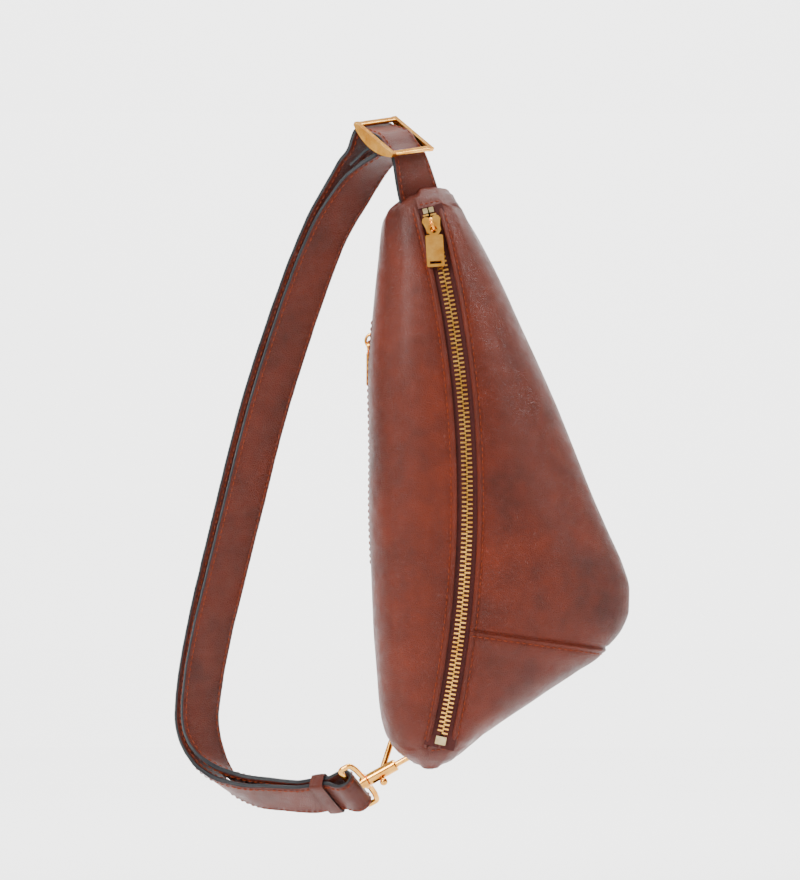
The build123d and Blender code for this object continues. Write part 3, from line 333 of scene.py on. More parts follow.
def fill_leather(tree, place, output):
    cells = tree.nodes.new("ShaderNodeTexVoronoi")
    cells.feature = "DISTANCE_TO_EDGE"
    cells.inputs["Scale"].default_value = 950.0
    tree.links.new(place, cells.inputs["Vector"])
    pores = ranged(tree, cells.outputs["Distance"], 0.0, 0.22)
    fine = noise_node(tree, place, 2600.0, 3.0)
    soft = noise_node(tree, place, 130.0, 4.0)
    height = sums(tree, "ADD", sums(tree, "MULTIPLY", pores, 0.8), sums(tree, "MULTIPLY", fine, 0.35))
    tree.links.new(sums(tree, "ADD", height, sums(tree, "MULTIPLY", soft, 0.9)), output.inputs["Height"])
    blotch = ranged(tree, noise_node(tree, place, 17.0, 5.0, 0.6), 0.32, 0.68)
    cloud = ranged(tree, noise_node(tree, place, 62.0, 6.0, 0.65), 0.3, 0.7)
    shade = sums(tree, "ADD", sums(tree, "MULTIPLY", blotch, 0.6), sums(tree, "MULTIPLY", cloud, 0.4))
    tree.links.new(shade, output.inputs["Shade"])
    tree.links.new(ranged(tree, soft, 0.3, 0.7), output.inputs["Polish"])


def fill_metal(tree, place, output):
    scratches = noise_node(tree, place, 900.0, 4.0, 0.7)
    worn = noise_node(tree, place, 110.0, 4.0, 0.6)
    tree.links.new(scratches, output.inputs["Height"])
    tree.links.new(ranged(tree, worn, 0.3, 0.7), output.inputs["Shade"])
    tree.links.new(ranged(tree, scratches, 0.35, 0.65), output.inputs["Polish"])


def fill_weave(tree, place, output):
    waves = []
    for axis in ("Z", "X"):
        node = tree.nodes.new("ShaderNodeTexWave")
        node.bands_direction = axis
        node.inputs["Scale"].default_value = 330.0
        node.inputs["Distortion"].default_value = 0.6
        tree.links.new(place, node.inputs["Vector"])
        waves.append(node.outputs["Fac"])
    tree.links.new(sums(tree, "MAXIMUM", *waves), output.inputs["Height"])
    tree.links.new(noise_node(tree, place, 240.0, 4.0), output.inputs["Shade"])
    tree.links.new(sums(tree, "MULTIPLY", *waves), output.inputs["Polish"])


SOCKETS = ("Height", "Shade", "Polish")
LEATHER_EFFECT = effect_group("leather_grain", SOCKETS, fill_leather)
METAL_EFFECT = effect_group("metal_wear", SOCKETS, fill_metal)
WEAVE_EFFECT = effect_group("tape_weave", SOCKETS, fill_weave)


def material(name, effect, dark, light, rough, depth, metallic=0.0, coat=0.0, strength=0.75):
    """A material whose colour, roughness and bump come from a shared effect."""
    made = bpy.data.materials.new(name)
    made.use_nodes = True
    tree = made.node_tree
    shader = tree.nodes["Principled BSDF"]
    group = tree.nodes.new("ShaderNodeGroup")
    group.node_tree = effect
    blend = tree.nodes.new("ShaderNodeMix")
    blend.data_type = "RGBA"
    tree.links.new(group.outputs["Shade"], blend.inputs["Factor"])
    blend.inputs[6].default_value = dark
    blend.inputs[7].default_value = light
    tree.links.new(blend.outputs[2], shader.inputs["Base Color"])
    tree.links.new(ranged(tree, group.outputs["Polish"], 0.0, 1.0, *rough), shader.inputs["Roughness"])
    bump = tree.nodes.new("ShaderNodeBump")
    bump.inputs["Strength"].default_value = strength
    bump.inputs["Distance"].default_value = depth
    tree.links.new(group.outputs["Height"], bump.inputs["Height"])
    tree.links.new(bump.outputs["Normal"], shader.inputs["Normal"])
    shader.inputs["Metallic"].default_value = metallic
    shader.inputs["Coat Weight"].default_value = coat
    shader.inputs["Coat Roughness"].default_value = 0.28
    shader.inputs["Specular IOR Level"].default_value = 0.26
    return made


LEATHER = material("cognac_leather", LEATHER_EFFECT, colour(60, 13, 0), colour(104, 30, 0),
                   (0.3, 0.48), 0.0006, coat=0.07)
STRAP_SKIN = material("strap_leather", LEATHER_EFFECT, colour(58, 13, 0), colour(98, 28, 0),
                      (0.32, 0.5), 0.0007, coat=0.07)
EDGE = material("edge_paint", LEATHER_EFFECT, colour(16, 17, 20), colour(28, 29, 33), (0.35, 0.5), 0.0001)
THREAD = material("thread", WEAVE_EFFECT, colour(92, 30, 5), colour(132, 50, 12), (0.5, 0.7), 0.0001)
TAPE = material("zip_tape", WEAVE_EFFECT, colour(44, 10, 7), colour(72, 20, 14), (0.7, 0.85), 0.00012)
CLOTH = material("lining_cloth", WEAVE_EFFECT, colour(90, 70, 52), colour(120, 96, 72), (0.75, 0.9), 0.0001)
BRASS = material("tooth_brass", METAL_EFFECT, colour(190, 128, 50), colour(238, 182, 96),
                 (0.2, 0.34), 0.00003, **CAST)
STOPS = material("stop_brass", METAL_EFFECT, colour(166, 144, 100), colour(200, 180, 138),
                 (0.3, 0.45), 0.00003, **CAST)
GILT = material("gilt", METAL_EFFECT, colour(214, 140, 48), colour(244, 184, 92),
                (0.12, 0.24), 0.00002, **PLATED)
STEEL = material("spring_steel", METAL_EFFECT, colour(150, 150, 152), colour(190, 190, 192),
                 (0.25, 0.4), 0.00002, **PLATED)

for node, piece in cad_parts.items():
    finish = GILT
    if "tape" in node:
        finish = TAPE
    elif "teeth" in node:
        finish = BRASS
    elif "stop" in node:
        finish = STOPS
    elif "lining" in node:
        finish = CLOTH
    elif node == "bolt_spring":
        finish = STEEL
    elif "panel" in node or "tab" in node or (node.startswith("strap") and node != "strap_buckle"):
        finish = LEATHER
    piece.data.materials.clear()
    piece.data.materials.append(finish)


# ---- stitches -------------------------------------------------------------------------------------------

def add_stitches(mesh, places, length=3.2, radius=0.4):
    """Short threads that rise from the leather and dip back, at (point, along, normal) places."""
    for point, along, normal in places:
        across = unit(along.cross(normal))

        def thread(u, v):
            turn = 2 * math.pi * u
            end = 2 * v - 1
            lift = 0.62 * (1 - end * end) - 0.22
            girth = radius * (1 - 0.55 * end ** 4)
            ring = across * math.cos(turn) + normal * math.sin(turn)
            return point + along * (length / 2 * end) + normal * lift + ring * girth

        add_grid(mesh, 6, 4, thread)


def spaced(path, pitch=STITCH_PITCH):
    """Even places along a list of (point, normal): (point, direction, normal)."""
    places = []
    carried = pitch / 2
    for (a, normal_a), (b, normal_b) in zip(path, path[1:]):
        step = (b - a).length
        if step < 1e-6:
            continue
        while carried <= step:
            share = carried / step
            places.append((mix(a, b, share), unit(b - a), unit(mix(normal_a, normal_b, share))))
            carried += pitch
        carried -= step
    return places


# ---- pouch ----------------------------------------------------------------------------------------------

def seam_height(x):
    """Height of the slanting seam's straight line at a place across the bag."""
    return SEAM_LEFT[1] + (x - SEAM_LEFT[0]) * SEAM_SLOPE


SEAM_HEIGHTS = {}
SEAM_STITCH_DROP = 3.1


def seam_at(distance_share):
    """Height of the slanting seam at a share of the way round the right side."""
    key = round(distance_share, 4)
    if key in SEAM_HEIGHTS:
        return SEAM_HEIGHTS[key]
    height = -335.0
    for _ in range(8):
        last = section(height, 1)[1][-1]
        height = seam_height(on_skin(height, 1, distance_share * last).x)
    SEAM_HEIGHTS[key] = height
    return height


def skin_relief(height, side, distance, seam=None):
    """How far the leather stands off the smooth shape, in millimetres."""
    near_zip = smooth(-44.0, -52.0, height) * smooth(-414.0, -404.0, height)
    relief = near_zip * (0.8 * bell(distance, 1.2, 1.2) - 0.6 * bell(distance, STITCH_INSET, 0.8))
    spot = on_skin(height, side, distance)
    slow = noise.noise(spot * 0.016 + Vector((3.1 * side, 0, 0)))
    creases = noise.noise(Vector((spot.x * 0.05, spot.y * 0.05, spot.z * 0.021)) + Vector((7, 2, 5)))
    relief += 0.9 * slow * smooth(4, 16, distance) + 0.38 * creases * smooth(4, 10, distance)
    for end, reach in ((OUTLINE[0][0], 42.0), (OUTLINE[-1][0], 30.0)):
        pull = max(0.0, 1 - abs(height - end) / reach)
        relief += 0.55 * pull * math.sin(distance * 0.42 + height * 0.06 + side) * smooth(4, 12, distance)
    if seam is not None:
        below = seam - height
        relief += 1.1 * smooth(-0.3, 0.6, below) * smooth(16, 6, below)
        relief -= 0.55 * bell(below, SEAM_STITCH_DROP, 0.8) + 0.7 * bell(below, -0.6, 0.9)
    return relief


def panel_point(height, side, distance, seam=None):
    """A point of the finished skin. Below distance 0 the leather rolls in under its turned edge."""
    near = max(distance, 0.0)
    point = on_skin(height, side, near)
    normal = skin_normal(height, side, near)
    point = point + normal * skin_relief(height, side, near, seam)
    if distance < 0:
        turn = -distance * math.pi
        inward = Vector((-side * ROLL_RADIUS * math.sin(turn), 0, 0))
        point = point + inward - normal * (ROLL_RADIUS * (1 - math.cos(turn)))
    return point


def capped(height_share, top, bottom, caps):
    """(height, shrink, rise) for a share of the way down, with rounded caps at the closed ends."""
    if "top" in caps and height_share < CAP_SHARE:
        turn = height_share / CAP_SHARE * math.pi / 2
        return top, math.sin(turn), TOP_CAP_RISE * math.cos(turn)
    if "bottom" in caps and height_share > 1 - CAP_SHARE:
        turn = (1 - height_share) / CAP_SHARE * math.pi / 2
        return bottom, math.sin(turn), -BOTTOM_CAP_DROP * math.cos(turn)
    low = CAP_SHARE if "top" in caps else 0.0
    high = 1 - CAP_SHARE if "bottom" in caps else 1.0
    return mix(top, bottom, (height_share - low) / (high - low)), 1.0, 0.0


def make_panel(name, side, rows, columns, top, bottom, caps, node, crowd=None):
    """A leather panel between two heights, each a number or a rule of the share round.

    crowd is the end, "top" or "bottom", where a seam runs and the rows lie closer together.
    """

    def place(u, v):
        distance_share = (u - ROLL) / (1 - ROLL)
        share = max(distance_share, 0.0) ** 1.6
        high = top(share) if callable(top) else top
        low = bottom(share) if callable(bottom) else bottom
        down = {"top": (1 - v) ** 1.7, "bottom": 1 - v ** 1.7}.get(crowd, 1 - v)
        height, shrink, rise = capped(down, high, low, caps)
        last = section(height, side)[1][-1]
        distance = share * last if distance_share >= 0 else -(1 - u / ROLL)
        seam = seam_at(share) if crowd else None
        point = panel_point(height, side, distance, seam)
        ends = [on_skin(height, side, d) for d in (0.0, last)]
        return (ends[0] + ends[1]) * 0.5 * (1 - shrink) + point * shrink + Vector((0, 0, rise))

    mesh = bmesh.new()
    add_grid(mesh, columns, rows, place)
    return finished(mesh, name, [LEATHER], "root", replaces=(node,))


TOP = OUTLINE[0][0]
BOTTOM = OUTLINE[-1][0]
ROWS = 170
left = make_panel("pouch_left", -1, ROWS, 66, TOP, BOTTOM, ("top", "bottom"), "left_panel")
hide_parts("back_panel")
make_panel("pouch_front", 1, ROWS, 76, TOP, seam_at, ("top",), "front_panel", "bottom")
make_panel("pouch_lower", 1, ROWS // 2, 76, seam_at, BOTTOM, ("bottom",), "lower_panel", "top")


def lining_point(side, u, v):
    """A point of the closed cloth bag inside the leather."""
    height, shrink, rise = capped(1 - v, TOP - 4.0, BOTTOM + 4.0, ("top", "bottom"))
    last = section(height, side)[1][-1]
    point = on_skin(height, side, u * last) - skin_normal(height, side, u * last) * LINING_INSET
    ends = [on_skin(height, side, d) for d in (0.0, last)]
    return (ends[0] + ends[1]) * 0.5 * (1 - shrink) + point * shrink + Vector((0, 0, rise))


cloth = bmesh.new()
for side in (-1, 1):
    add_grid(cloth, 40, 90, lambda u, v, side=side: lining_point(side, u, v))
finished(cloth, "pouch_lining", [CLOTH], "root", replaces=("lining",))


def skin_path(side, rule, heights):
    """(point, normal) places on the skin at a distance rule(height) round from the slot."""
    path = []
    for height in heights:
        distance = rule(height)
        point = panel_point(height, side, distance)
        path.append((point, skin_normal(height, side, distance)))
    return path


def span(start, stop, step):
    """Even heights or shares from start to stop, about a step apart."""
    count = max(2, int(abs(stop - start) / step))
    return [mix(start, stop, i / count) for i in range(count + 1)]


seams = bmesh.new()
for side in (-1, 1):
    add_stitches(seams, spaced(skin_path(side, lambda height: STITCH_INSET, span(-53, -401, 2.0))))


def wall_distance(height):
    """Distance round the left side to the line just in front of the side zip."""
    points, lengths = section(height, -1)
    for (x, y), length in zip(points[10:], lengths[10:]):
        if y > -24.5:
            return length
    return lengths[-1]


add_stitches(seams, spaced(skin_path(-1, wall_distance, span(-124, -288, 3.0))))
seam_line = []
for step in range(60):
    share = 0.001 + 0.55 * step / 59
    height = seam_at(share) - SEAM_STITCH_DROP
    last = section(height, 1)[1][-1]
    point = panel_point(height, 1, share * last, seam_at(share))
    seam_line.append((point, skin_normal(height, 1, share * last)))
add_stitches(seams, spaced(seam_line))
finished(seams, "pouch_stitches", [THREAD], "root")


# ---- end tabs of the front zip --------------------------------------------------------------------------

TAB_RIM = 0.1
TAB_STITCH_LIFT = 1.45
TOP_TAB = [(28.6, -43.6), (43.4, -39.6), (46.0, -48.0), (30.6, -51.4)]
BOTTOM_TAB = [(37.0, -405.4), (54.0, -402.6), (51.6, -415.6), (38.2, -416.0)]


def make_tab(name, corners, node, stitched_row):
    """A small leather tab lying on the pouch, its corners (x, z) clockwise from the upper left."""

    def spot(u, v):
        low = mix(Vector(corners[3]), Vector(corners[2]), u)
        high = mix(Vector(corners[0]), Vector(corners[1]), u)
        return mix(low, high, v)

    def skin_y(x, height):
        height = max(min(height, TOP - 0.2), BOTTOM + 0.2)
        side = 1 if x > ridge(height).x else -1
        points = section(height, side)[0][:26]
        for a, b in zip(points, points[1:]):
            if min(a[0], b[0]) <= x <= max(a[0], b[0]) and a[0] != b[0]:
                return mix(a[1], b[1], (x - a[0]) / (b[0] - a[0]))
        return points[0][1]

    def place(u, v):
        u_flat = min(max((u - TAB_RIM) / (1 - 2 * TAB_RIM), 0.0), 1.0)
        v_flat = min(max((v - TAB_RIM) / (1 - 2 * TAB_RIM), 0.0), 1.0)
        edge = min(u / TAB_RIM, (1 - u) / TAB_RIM, v / TAB_RIM, (1 - v) / TAB_RIM, 1.0)
        flat = spot(u_flat, v_flat)
        dent = 0.3 * bell(v_flat, stitched_row, 0.12)
        lift = -0.6 + 2.3 * math.sin(edge * math.pi / 2) - dent
        return Vector((flat.x, skin_y(flat.x, flat.y) - lift, flat.y))

    mesh = bmesh.new()
    add_grid(mesh, 30, 24, place)
    finished(mesh, name, [LEATHER], "root", replaces=(node,))
    row = []
    for u in span(0.08, 0.92, 0.06):
        flat = spot(u, stitched_row)
        row.append((Vector((flat.x, skin_y(flat.x, flat.y) - TAB_STITCH_LIFT, flat.y)), Vector((0, -1, 0))))
    threads = bmesh.new()
    add_stitches(threads, spaced(row, 3.6), 2.7)
    finished(threads, name + "_stitches", [THREAD], "root")


make_tab("zip_tab_top", TOP_TAB, "zip_end_tab_top", 0.3)
make_tab("zip_tab_bottom", BOTTOM_TAB, "zip_end_tab_bottom", 0.7)


# ---- zip tapes ------------------------------------------------------------------------------------------

TAPE_INNER = 0.8
TAPE_OUTER = 10.1
TAPE_MIDDLE = 2.65
TAPE_HALF_THICKNESS = 0.32
TAPE_CORD = 0.55
SIDE_TAPE_OUTER = 7.9
SIDE_TAPE_TOP = -4.5
SIDE_TAPE_BOTTOM = 161.0


def tape_profile(share):
    """(across, inwards) of a tape's cross section: a corded edge, then a flat band, out and back."""
    out = share * 2 if share < 0.5 else (1 - share) * 2
    across = mix(TAPE_INNER, TAPE_OUTER, out)
    half = TAPE_HALF_THICKNESS + TAPE_CORD * bell(across, 1.6, 0.9)
    return across, TAPE_MIDDLE + (-half if share < 0.5 else half)


for side, label in ((-1, "left"), (1, "right")):
    mesh = bmesh.new()

    def tape_point(u, v, side=side):
        across, inward = tape_profile(u)
        return zip_place(side * across, inward, mix(HALF_ARC + 8.0, -HALF_ARC - 3.0, v))

    add_grid(mesh, 24, 160, tape_point)
    finished(mesh, "front_tape_" + label, [TAPE], "root", replaces=("zip_tape_" + label,))

# the side zip's own frame: its top on the left wall, up, into the pouch, towards the front
SIDE_TOP = Vector((0.895, -14.024, -127.0))
SIDE_UP = unit(Vector((0.0033, 0, 1)))
SIDE_IN = unit(Vector((0.970, -0.242, -0.003)))
SIDE_RIGHT = SIDE_IN.cross(SIDE_UP)
for side, label in ((-1, "back"), (1, "front")):
    mesh = bmesh.new()

    def side_tape_point(u, v, side=side):
        across, inward = tape_profile(u)
        across = min(across, SIDE_TAPE_OUTER)
        drop = mix(SIDE_TAPE_BOTTOM, SIDE_TAPE_TOP, v)
        return SIDE_TOP + SIDE_RIGHT * (side * across) + SIDE_IN * inward - SIDE_UP * drop

    add_grid(mesh, 24, 60, side_tape_point)
    finished(mesh, "side_tape_" + label, [TAPE], "root", replaces=("side_zip_tape_" + label,))


# ---- strap ----------------------------------------------------------------------------------------------

# the fold at the hook: x along the strap, y across its width, z through its layers
HOOK_END = Vector((15.3, 4.0, -420.7))
HOOK_X = unit(Vector((0.86, -0.14, 0.49)))
EYE_DISTANCE = 32.1
EYE_CENTRE = HOOK_END - HOOK_X * EYE_DISTANCE
FOLD_DIRECTION = Vector((0.40, 0.66, -0.62))
FOLD_W = unit(FOLD_DIRECTION - HOOK_X * FOLD_DIRECTION.dot(HOOK_X))
FOLD_RUN = Vector((0.93, -0.36, 0.05))
FOLD_T = unit(FOLD_RUN - FOLD_W * FOLD_RUN.dot(FOLD_W))
FOLD_N = FOLD_T.cross(FOLD_W)
FOLD_SHIFT = 2.5
FOLD_ORIGIN = EYE_CENTRE + FOLD_W * FOLD_SHIFT
STRAIGHT_ENDS = (-38.0, -15.0)
# the buckle: x to the strap's right edge, y from the near bar to the far bar, z outwards
BUCKLE_NEAR = Vector((25.5, -18.0, -13.7))
BUCKLE_FAR = Vector((2.5, 1.0, 6.8))
BUCKLE_V = unit(BUCKLE_FAR - BUCKLE_NEAR)
BUCKLE_SIDE = Vector((0.70, 0.70, 0.15))
BUCKLE_U = unit(BUCKLE_SIDE - BUCKLE_V * BUCKLE_SIDE.dot(BUCKLE_V))
BUCKLE_N = BUCKLE_U.cross(BUCKLE_V)
BUCKLE_CENTRE = (BUCKLE_NEAR + BUCKLE_FAR) * 0.5
REACH = (BUCKLE_FAR - BUCKLE_NEAR).length / 2
CENTRE_BAR = -3.2
CENTRE_BAR_RADIUS = 1.5
BAR_LIFT = 2.0
BAR_HALF_HEIGHT = 1.2
BAR_CLEARANCE = 1.2
BAR_FOLD_THICKNESS = 1.8
FOLD_THICKNESS = 3.2
EYE_WIRE = 1.9
LAYER_HALF = 2.15
EDGE_STITCH_INSET = 2.6


def in_buckle(along, height, thickness=STRAP_THICKNESS):
    return (BUCKLE_CENTRE + BUCKLE_V * along + BUCKLE_N * height, BUCKLE_U, thickness)


def rows_of(table):
    return [(Vector(centre), unit(Vector(across)), thickness) for centre, across, thickness in table]


def with_normals(rows):
    """Adds each slice's normal, square to the width and to the run of the centres."""
    made = []
    for index, (centre, across, thickness) in enumerate(rows):
        along = rows[min(index + 1, len(rows) - 1)][0] - rows[max(index - 1, 0)][0]
        made.append((centre, unit(across), unit(along.cross(across)), thickness))
    return made


def catmull(a, b, c, d, t):
    """The smooth curve between b and c, a share t of the way."""
    square = 2 * a - 5 * b + 4 * c - d
    cube = 3 * b - a - 3 * c + d
    return 0.5 * ((2 * b) + (c - a) * t + square * t * t + cube * t ** 3)


def dense(rows, step=2.0):
    """More slices along a strap, on a smooth curve through the given ones."""
    made = []
    for i in range(len(rows) - 1):
        around = [rows[max(i - 1, 0)], rows[i], rows[i + 1], rows[min(i + 2, len(rows) - 1)]]
        count = max(1, int((rows[i + 1][0] - rows[i][0]).length / step))
        for k in range(count):
            t = k / count
            centre = catmull(*[r[0] for r in around], t)
            across = unit(catmull(*[r[1] for r in around], t))
            made.append((centre, across, catmull(*[r[2] for r in around], t)))
    made.append(rows[-1])
    return made


def strap_section(u, thickness):
    """(across, out) round a strap's cross section, with painted edges at both sides."""
    half_w = STRAP_WIDTH / 2
    half_t = thickness / 2
    angle = 2 * math.pi * u
    cosine, sine = math.cos(angle), math.sin(angle)
    across = half_w * math.copysign(abs(cosine) ** 0.34, cosine)
    out = half_t * math.copysign(abs(sine) ** 0.34, sine)
    groove = 0.16 * bell(abs(across), half_w - EDGE_STITCH_INSET, 0.8)
    return across, out - math.copysign(groove, out) if abs(out) > half_t * 0.8 else out


def make_strap(name, rows, node, wrinkles=0.3, seed=0.0, stitch_sides=(1,), first_normal=None):
    """A stretch of strap through (centre, width direction, thickness) slices."""
    slices = with_normals(dense(rows))
    facing = first_normal or slices[0][2]
    steady = []
    for centre, across, normal, thickness in slices:
        if normal.dot(facing) < 0:
            normal = -normal
        facing = normal
        steady.append((centre, across, normal, thickness))
    count = len(steady) - 1

    def place(u, v):
        position = (1 - v) * (count + 2) - 1
        index = min(max(int(round(position)), 0), count)
        centre, across, normal, thickness = steady[index]
        if position < -0.5 or position > count + 0.5:
            return centre.copy()
        side, out = strap_section(u, thickness)
        ripple = noise.noise(Vector((side * 0.05, index * 0.17 + seed, seed * 3.7)))
        ripple += 0.5 * noise.noise(Vector((side * 0.12, index * 0.5 + seed, 9.0)))
        return centre + across * side + normal * (out + wrinkles * ripple)

    mesh = bmesh.new()
    add_grid(mesh, 44, count + 2, place)

    def pick(u, v):
        return 1 if abs(math.cos(2 * math.pi * u)) > 0.9 else 0

    finished(mesh, name, [STRAP_SKIN, EDGE], "root", pick, (node,))
    threads = bmesh.new()
    for face in stitch_sides:
        for edge in (-1, 1):
            path = []
            for centre, across, normal, thickness in steady:
                to_edge = across * (edge * (STRAP_WIDTH / 2 - EDGE_STITCH_INSET))
                to_face = normal * (face * (thickness / 2 - 0.1))
                path.append((centre + (to_edge + to_face), normal * face))
            add_stitches(threads, spaced(path))
    if stitch_sides:
        finished(threads, name + "_stitches", [THREAD], "root")


under_bar = BAR_LIFT - BAR_HALF_HEIGHT - BAR_CLEARANCE - STRAP_THICKNESS / 2
fold_top = CENTRE_BAR + CENTRE_BAR_RADIUS + 0.1 + BAR_FOLD_THICKNESS
over_bar = fold_top + 0.5 + STRAP_THICKNESS / 2
crown = [in_buckle(-REACH + 0.5, under_bar), in_buckle(-REACH * 0.5, (under_bar + over_bar) / 2),
         in_buckle(0, over_bar), in_buckle(REACH * 0.5, (under_bar + over_bar) / 2),
         in_buckle(REACH - 0.8, under_bar)]
crown_end = in_buckle(REACH + 2.8, under_bar - 3.2)
bag_end = rows_of([
    ((34.0, -15.0, -50.0), (0.840, 0.470, 0.270), STRAP_THICKNESS),
    ((30.7, -18.0, -40.2), (0.840, 0.470, 0.270), STRAP_THICKNESS),
    ((28.0, -20.0, -29.5), (0.800, 0.560, 0.200), STRAP_THICKNESS),
])
outer_top = rows_of([
    ((-6.6, 6.0, -10.3), (0.600, 0.750, 0.0), STRAP_THICKNESS),
    ((-11.8, 7.2, -20.2), (0.650, 0.700, -0.150), STRAP_THICKNESS),
    ((-18.2, 7.4, -34.0), (0.700, 0.640, -0.280), STRAP_THICKNESS),
])
inner_top = rows_of([
    ((0.9, 0.2, -22.0), (0.600, 0.740, -0.080), STRAP_THICKNESS),
    ((-11.5, 0.8, -37.5), (0.700, 0.640, -0.280), STRAP_THICKNESS),
])
tail = rows_of([
    ((4.2, 0.4, -12.0), (0.670, 0.710, 0.050), 3.0),
    ((-5.0, 4.0, -22.0), (0.620, 0.730, -0.080), 3.0),
])
middle = [(Vector(c), unit(Vector(w)), s) for c, w, s in STRAP_LINE]
for along in (STRAIGHT_ENDS[0], sum(STRAIGHT_ENDS) / 2, STRAIGHT_ENDS[1]):
    middle.append((FOLD_ORIGIN + FOLD_T * along, FOLD_W, LAYER_HALF))


def layer(direction):
    """One layer of the doubled run, from the top down to the fold at the hook."""
    rows = []
    for index, (centre, across, normal, spread) in enumerate(with_normals(middle)):
        if index >= len(STRAP_LINE):
            normal = FOLD_N
        rows.append((centre + normal * (direction * spread), across, STRAP_THICKNESS))
    return rows


make_strap("strap_from_bag", bag_end + crown, "strap_bag_end", 0.35, 1.0, (1, -1))
outer_rows = [crown[-1], crown_end] + outer_top + layer(-1)
make_strap("strap_outer", outer_rows, "strap_outer_run", 0.45, 4.0, (1, -1))
wrap_radius = CENTRE_BAR_RADIUS + 0.1 + BAR_FOLD_THICKNESS / 2
inner_join = (in_buckle(-wrap_radius - 0.1, CENTRE_BAR - 6.0)[0], BUCKLE_U, STRAP_THICKNESS)
make_strap("strap_inner", [inner_join] + inner_top + layer(1), "strap_inner_run", 0.4, 8.0, (1, -1))
bar_fold = [in_buckle(-wrap_radius, CENTRE_BAR - 6.0, 3.4), in_buckle(-wrap_radius, CENTRE_BAR - 2.0, 1.9)]
for step in range(7):
    angle = math.pi * (1 - step / 6)
    height = CENTRE_BAR + wrap_radius * math.sin(angle)
    bar_fold.append(in_buckle(wrap_radius * math.cos(angle), height, BAR_FOLD_THICKNESS))
bar_fold.append(in_buckle(wrap_radius, CENTRE_BAR - 2.4, BAR_FOLD_THICKNESS))
make_strap("strap_round_bar", bar_fold + tail, "strap_bar_fold", 0.1, 2.0, ())
nose = EYE_WIRE + 0.3 + FOLD_THICKNESS / 2
fold_half = [
    (STRAIGHT_ENDS[1], LAYER_HALF, STRAP_THICKNESS),
    (-12.0, 2.7, 3.8),
    (-8.6, 4.5, 3.4),
    (-4.4, 6.0, FOLD_THICKNESS),
    (-0.4, 5.6, FOLD_THICKNESS),
    (nose - 1.0, 2.9, FOLD_THICKNESS),
]
fold_line = fold_half + [(nose, 0.0, FOLD_THICKNESS)] + [(x, -y, t) for x, y, t in fold_half[::-1]]
fold_rows = [(FOLD_ORIGIN + FOLD_T * x + FOLD_N * y, FOLD_W, t) for x, y, t in fold_line]
make_strap("strap_round_eye", fold_rows, "strap_hook_fold", 0.15, 6.0, (1,), FOLD_N)

# keeper: a band round both layers, its own edges painted
KEEPER_HALF_WIDTH = 16.3
KEEPER_HALF_HEIGHT = 5.45
KEEPER_WALL = 1.6
KEEPER_HALF_LENGTH = 5.0
KEEPER_PLACE = -21.0


def keeper_point(u, v):
    """A point of the band: v runs round the strap, u round the band's own section."""
    around = 2 * math.pi * v
    turn = 2 * math.pi * u
    cosine, sine = math.cos(around), math.sin(around)
    across = KEEPER_HALF_WIDTH * math.copysign(abs(cosine) ** 0.22, cosine)
    out = KEEPER_HALF_HEIGHT * math.copysign(abs(sine) ** 0.3, sine)
    push = KEEPER_WALL / 2 * math.copysign(abs(math.sin(turn)) ** 0.4, math.sin(turn))
    along = KEEPER_HALF_LENGTH * math.copysign(abs(math.cos(turn)) ** 0.4, math.cos(turn))
    outward = unit(Vector((across / KEEPER_HALF_WIDTH ** 2, out / KEEPER_HALF_HEIGHT ** 2)))
    push -= 0.22 * bell(abs(along), 3.9, 0.5) if push > 0 else 0.0
    spot = FOLD_ORIGIN + FOLD_T * (KEEPER_PLACE + along)
    return spot + FOLD_W * (across + outward.x * push) + FOLD_N * (out + outward.y * push)


keeper = bmesh.new()
add_grid(keeper, 28, 96, keeper_point)
finished(keeper, "keeper_band", [STRAP_SKIN, EDGE], "keeper",
         lambda u, v: 1 if abs(math.cos(2 * math.pi * u)) > 0.97 else 0, ("strap_keeper",))


# ---- stage: floor, backdrop, light, camera -----------------------------------------------------------------

FLOOR = -560.0
FLOOR_FRONT = -2600.0
FLOOR_RUN = 6400.0
STAGE_HALF_WIDTH = 3600.0
BEND_START = 2000.0
BEND_RADIUS = 900.0


def backdrop_material():
    """Matt white, and clear from behind so that the bag's back can be looked at."""
    made = bpy.data.materials.new("stage")
    made.use_nodes = True
    tree = made.node_tree
    shader = tree.nodes["Principled BSDF"]
    shader.inputs["Base Color"].default_value = (0.93, 0.93, 0.93, 1)
    shader.inputs["Roughness"].default_value = 0.9
    behind = tree.nodes.new("ShaderNodeNewGeometry")
    clear = tree.nodes.new("ShaderNodeBsdfTransparent")
    either = tree.nodes.new("ShaderNodeMixShader")
    tree.links.new(behind.outputs["Backfacing"], either.inputs["Fac"])
    tree.links.new(shader.outputs["BSDF"], either.inputs[1])
    tree.links.new(clear.outputs["BSDF"], either.inputs[2])
    tree.links.new(either.outputs["Shader"], tree.nodes["Material Output"].inputs["Surface"])
    return made


def backdrop_point(u, v):
    """A floor that curves up into a backdrop behind the bag."""
    run = v * FLOOR_RUN + FLOOR_FRONT
    rise = 0.0
    if run > BEND_START:
        angle = min((run - BEND_START) / BEND_RADIUS, math.pi / 2)
        straight = max(0.0, run - BEND_START - BEND_RADIUS * math.pi / 2)
        rise = BEND_RADIUS * (1 - math.cos(angle)) + straight
        run = BEND_START + BEND_RADIUS * math.sin(angle)
    return Vector((mix(-STAGE_HALF_WIDTH, STAGE_HALF_WIDTH, u), run, FLOOR + rise))


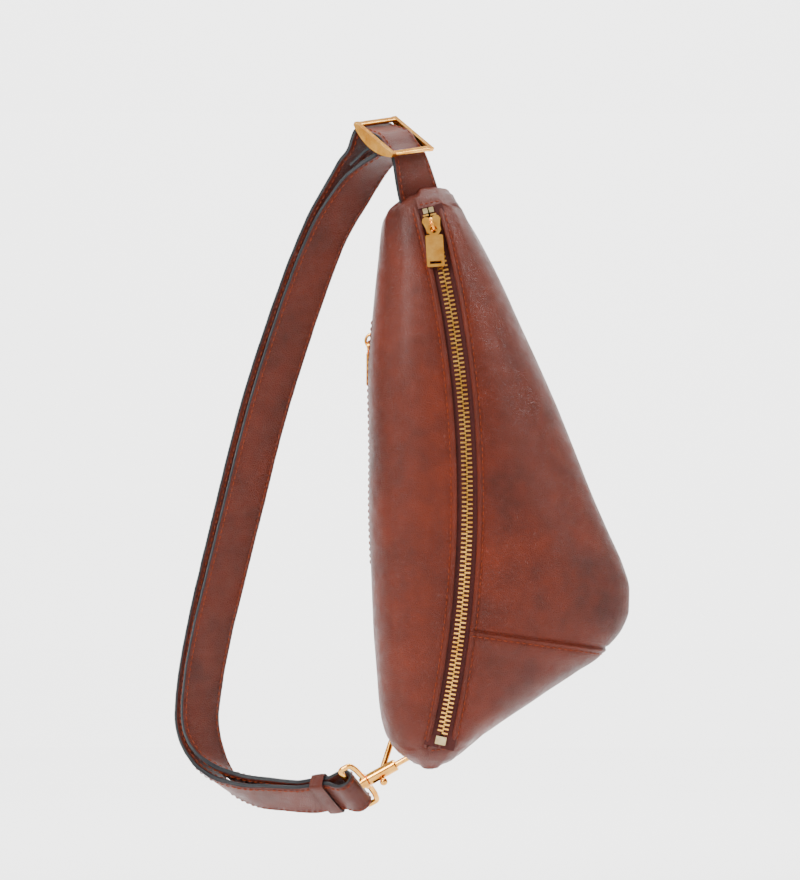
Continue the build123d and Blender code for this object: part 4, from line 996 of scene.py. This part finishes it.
sweep = bmesh.new()
add_grid(sweep, 24, 24, backdrop_point)
if sum(face.normal.z for face in sweep.faces) < 0:
    bmesh.ops.reverse_faces(sweep, faces=sweep.faces)
backdrop_mesh = bpy.data.meshes.new("backdrop")
sweep.to_mesh(backdrop_mesh)
sweep.free()
backdrop_mesh.materials.append(backdrop_material())
backdrop = bpy.data.objects.new("backdrop", backdrop_mesh)
bpy.context.scene.collection.objects.link(backdrop)

world = bpy.data.worlds.new("studio")
world.use_nodes = True
world.node_tree.nodes["Background"].inputs["Color"].default_value = (1.0, 0.98, 0.95, 1)
world.node_tree.nodes["Background"].inputs["Strength"].default_value = 0.9
bpy.context.scene.world = world


def soft_light(name, place, target, size, power):
    """A rectangular light in metres, aimed at a target."""
    data = bpy.data.lights.new(name, "AREA")
    data.shape = "RECTANGLE"
    data.size, data.size_y = size
    data.energy = power
    light = bpy.data.objects.new(name, data)
    light.location = place
    light.rotation_euler = (Vector(target) - Vector(place)).to_track_quat("-Z", "Y").to_euler()
    bpy.context.scene.collection.objects.link(light)


soft_light("key", (-1.3, -1.5, 0.9), (0.05, 0, -0.22), (0.5, 1.3), 62)
soft_light("fill", (1.6, -1.4, 0.2), (0.05, 0, -0.22), (1.0, 1.4), 12)
soft_light("wall", (0.0, 0.6, 1.9), (0.0, 2.6, -0.1), (3.2, 0.8), 260)
soft_light("rear", (0.9, 2.2, 1.3), (0.02, 0, -0.22), (1.2, 1.2), 22)
soft_light("strip", (0.1, -1.9, -0.9), (0.05, 0, -0.28), (0.5, 0.9), 7)

DISTANCE = 3500.0
VIEW_HEIGHT = 586.7
CAMERA_X = 18.7
CAMERA_Z = -203.7
camera_data = bpy.data.cameras.new("camera")
camera_data.sensor_width = 36.0
camera_data.lens = 36.0 * DISTANCE / VIEW_HEIGHT
camera = bpy.data.objects.new("camera", camera_data)
camera.location = (CAMERA_X * MM, -DISTANCE * MM, CAMERA_Z * MM)
camera.rotation_euler = (math.pi / 2, 0, 0)
bpy.context.scene.collection.objects.link(camera)
bpy.context.scene.camera = camera
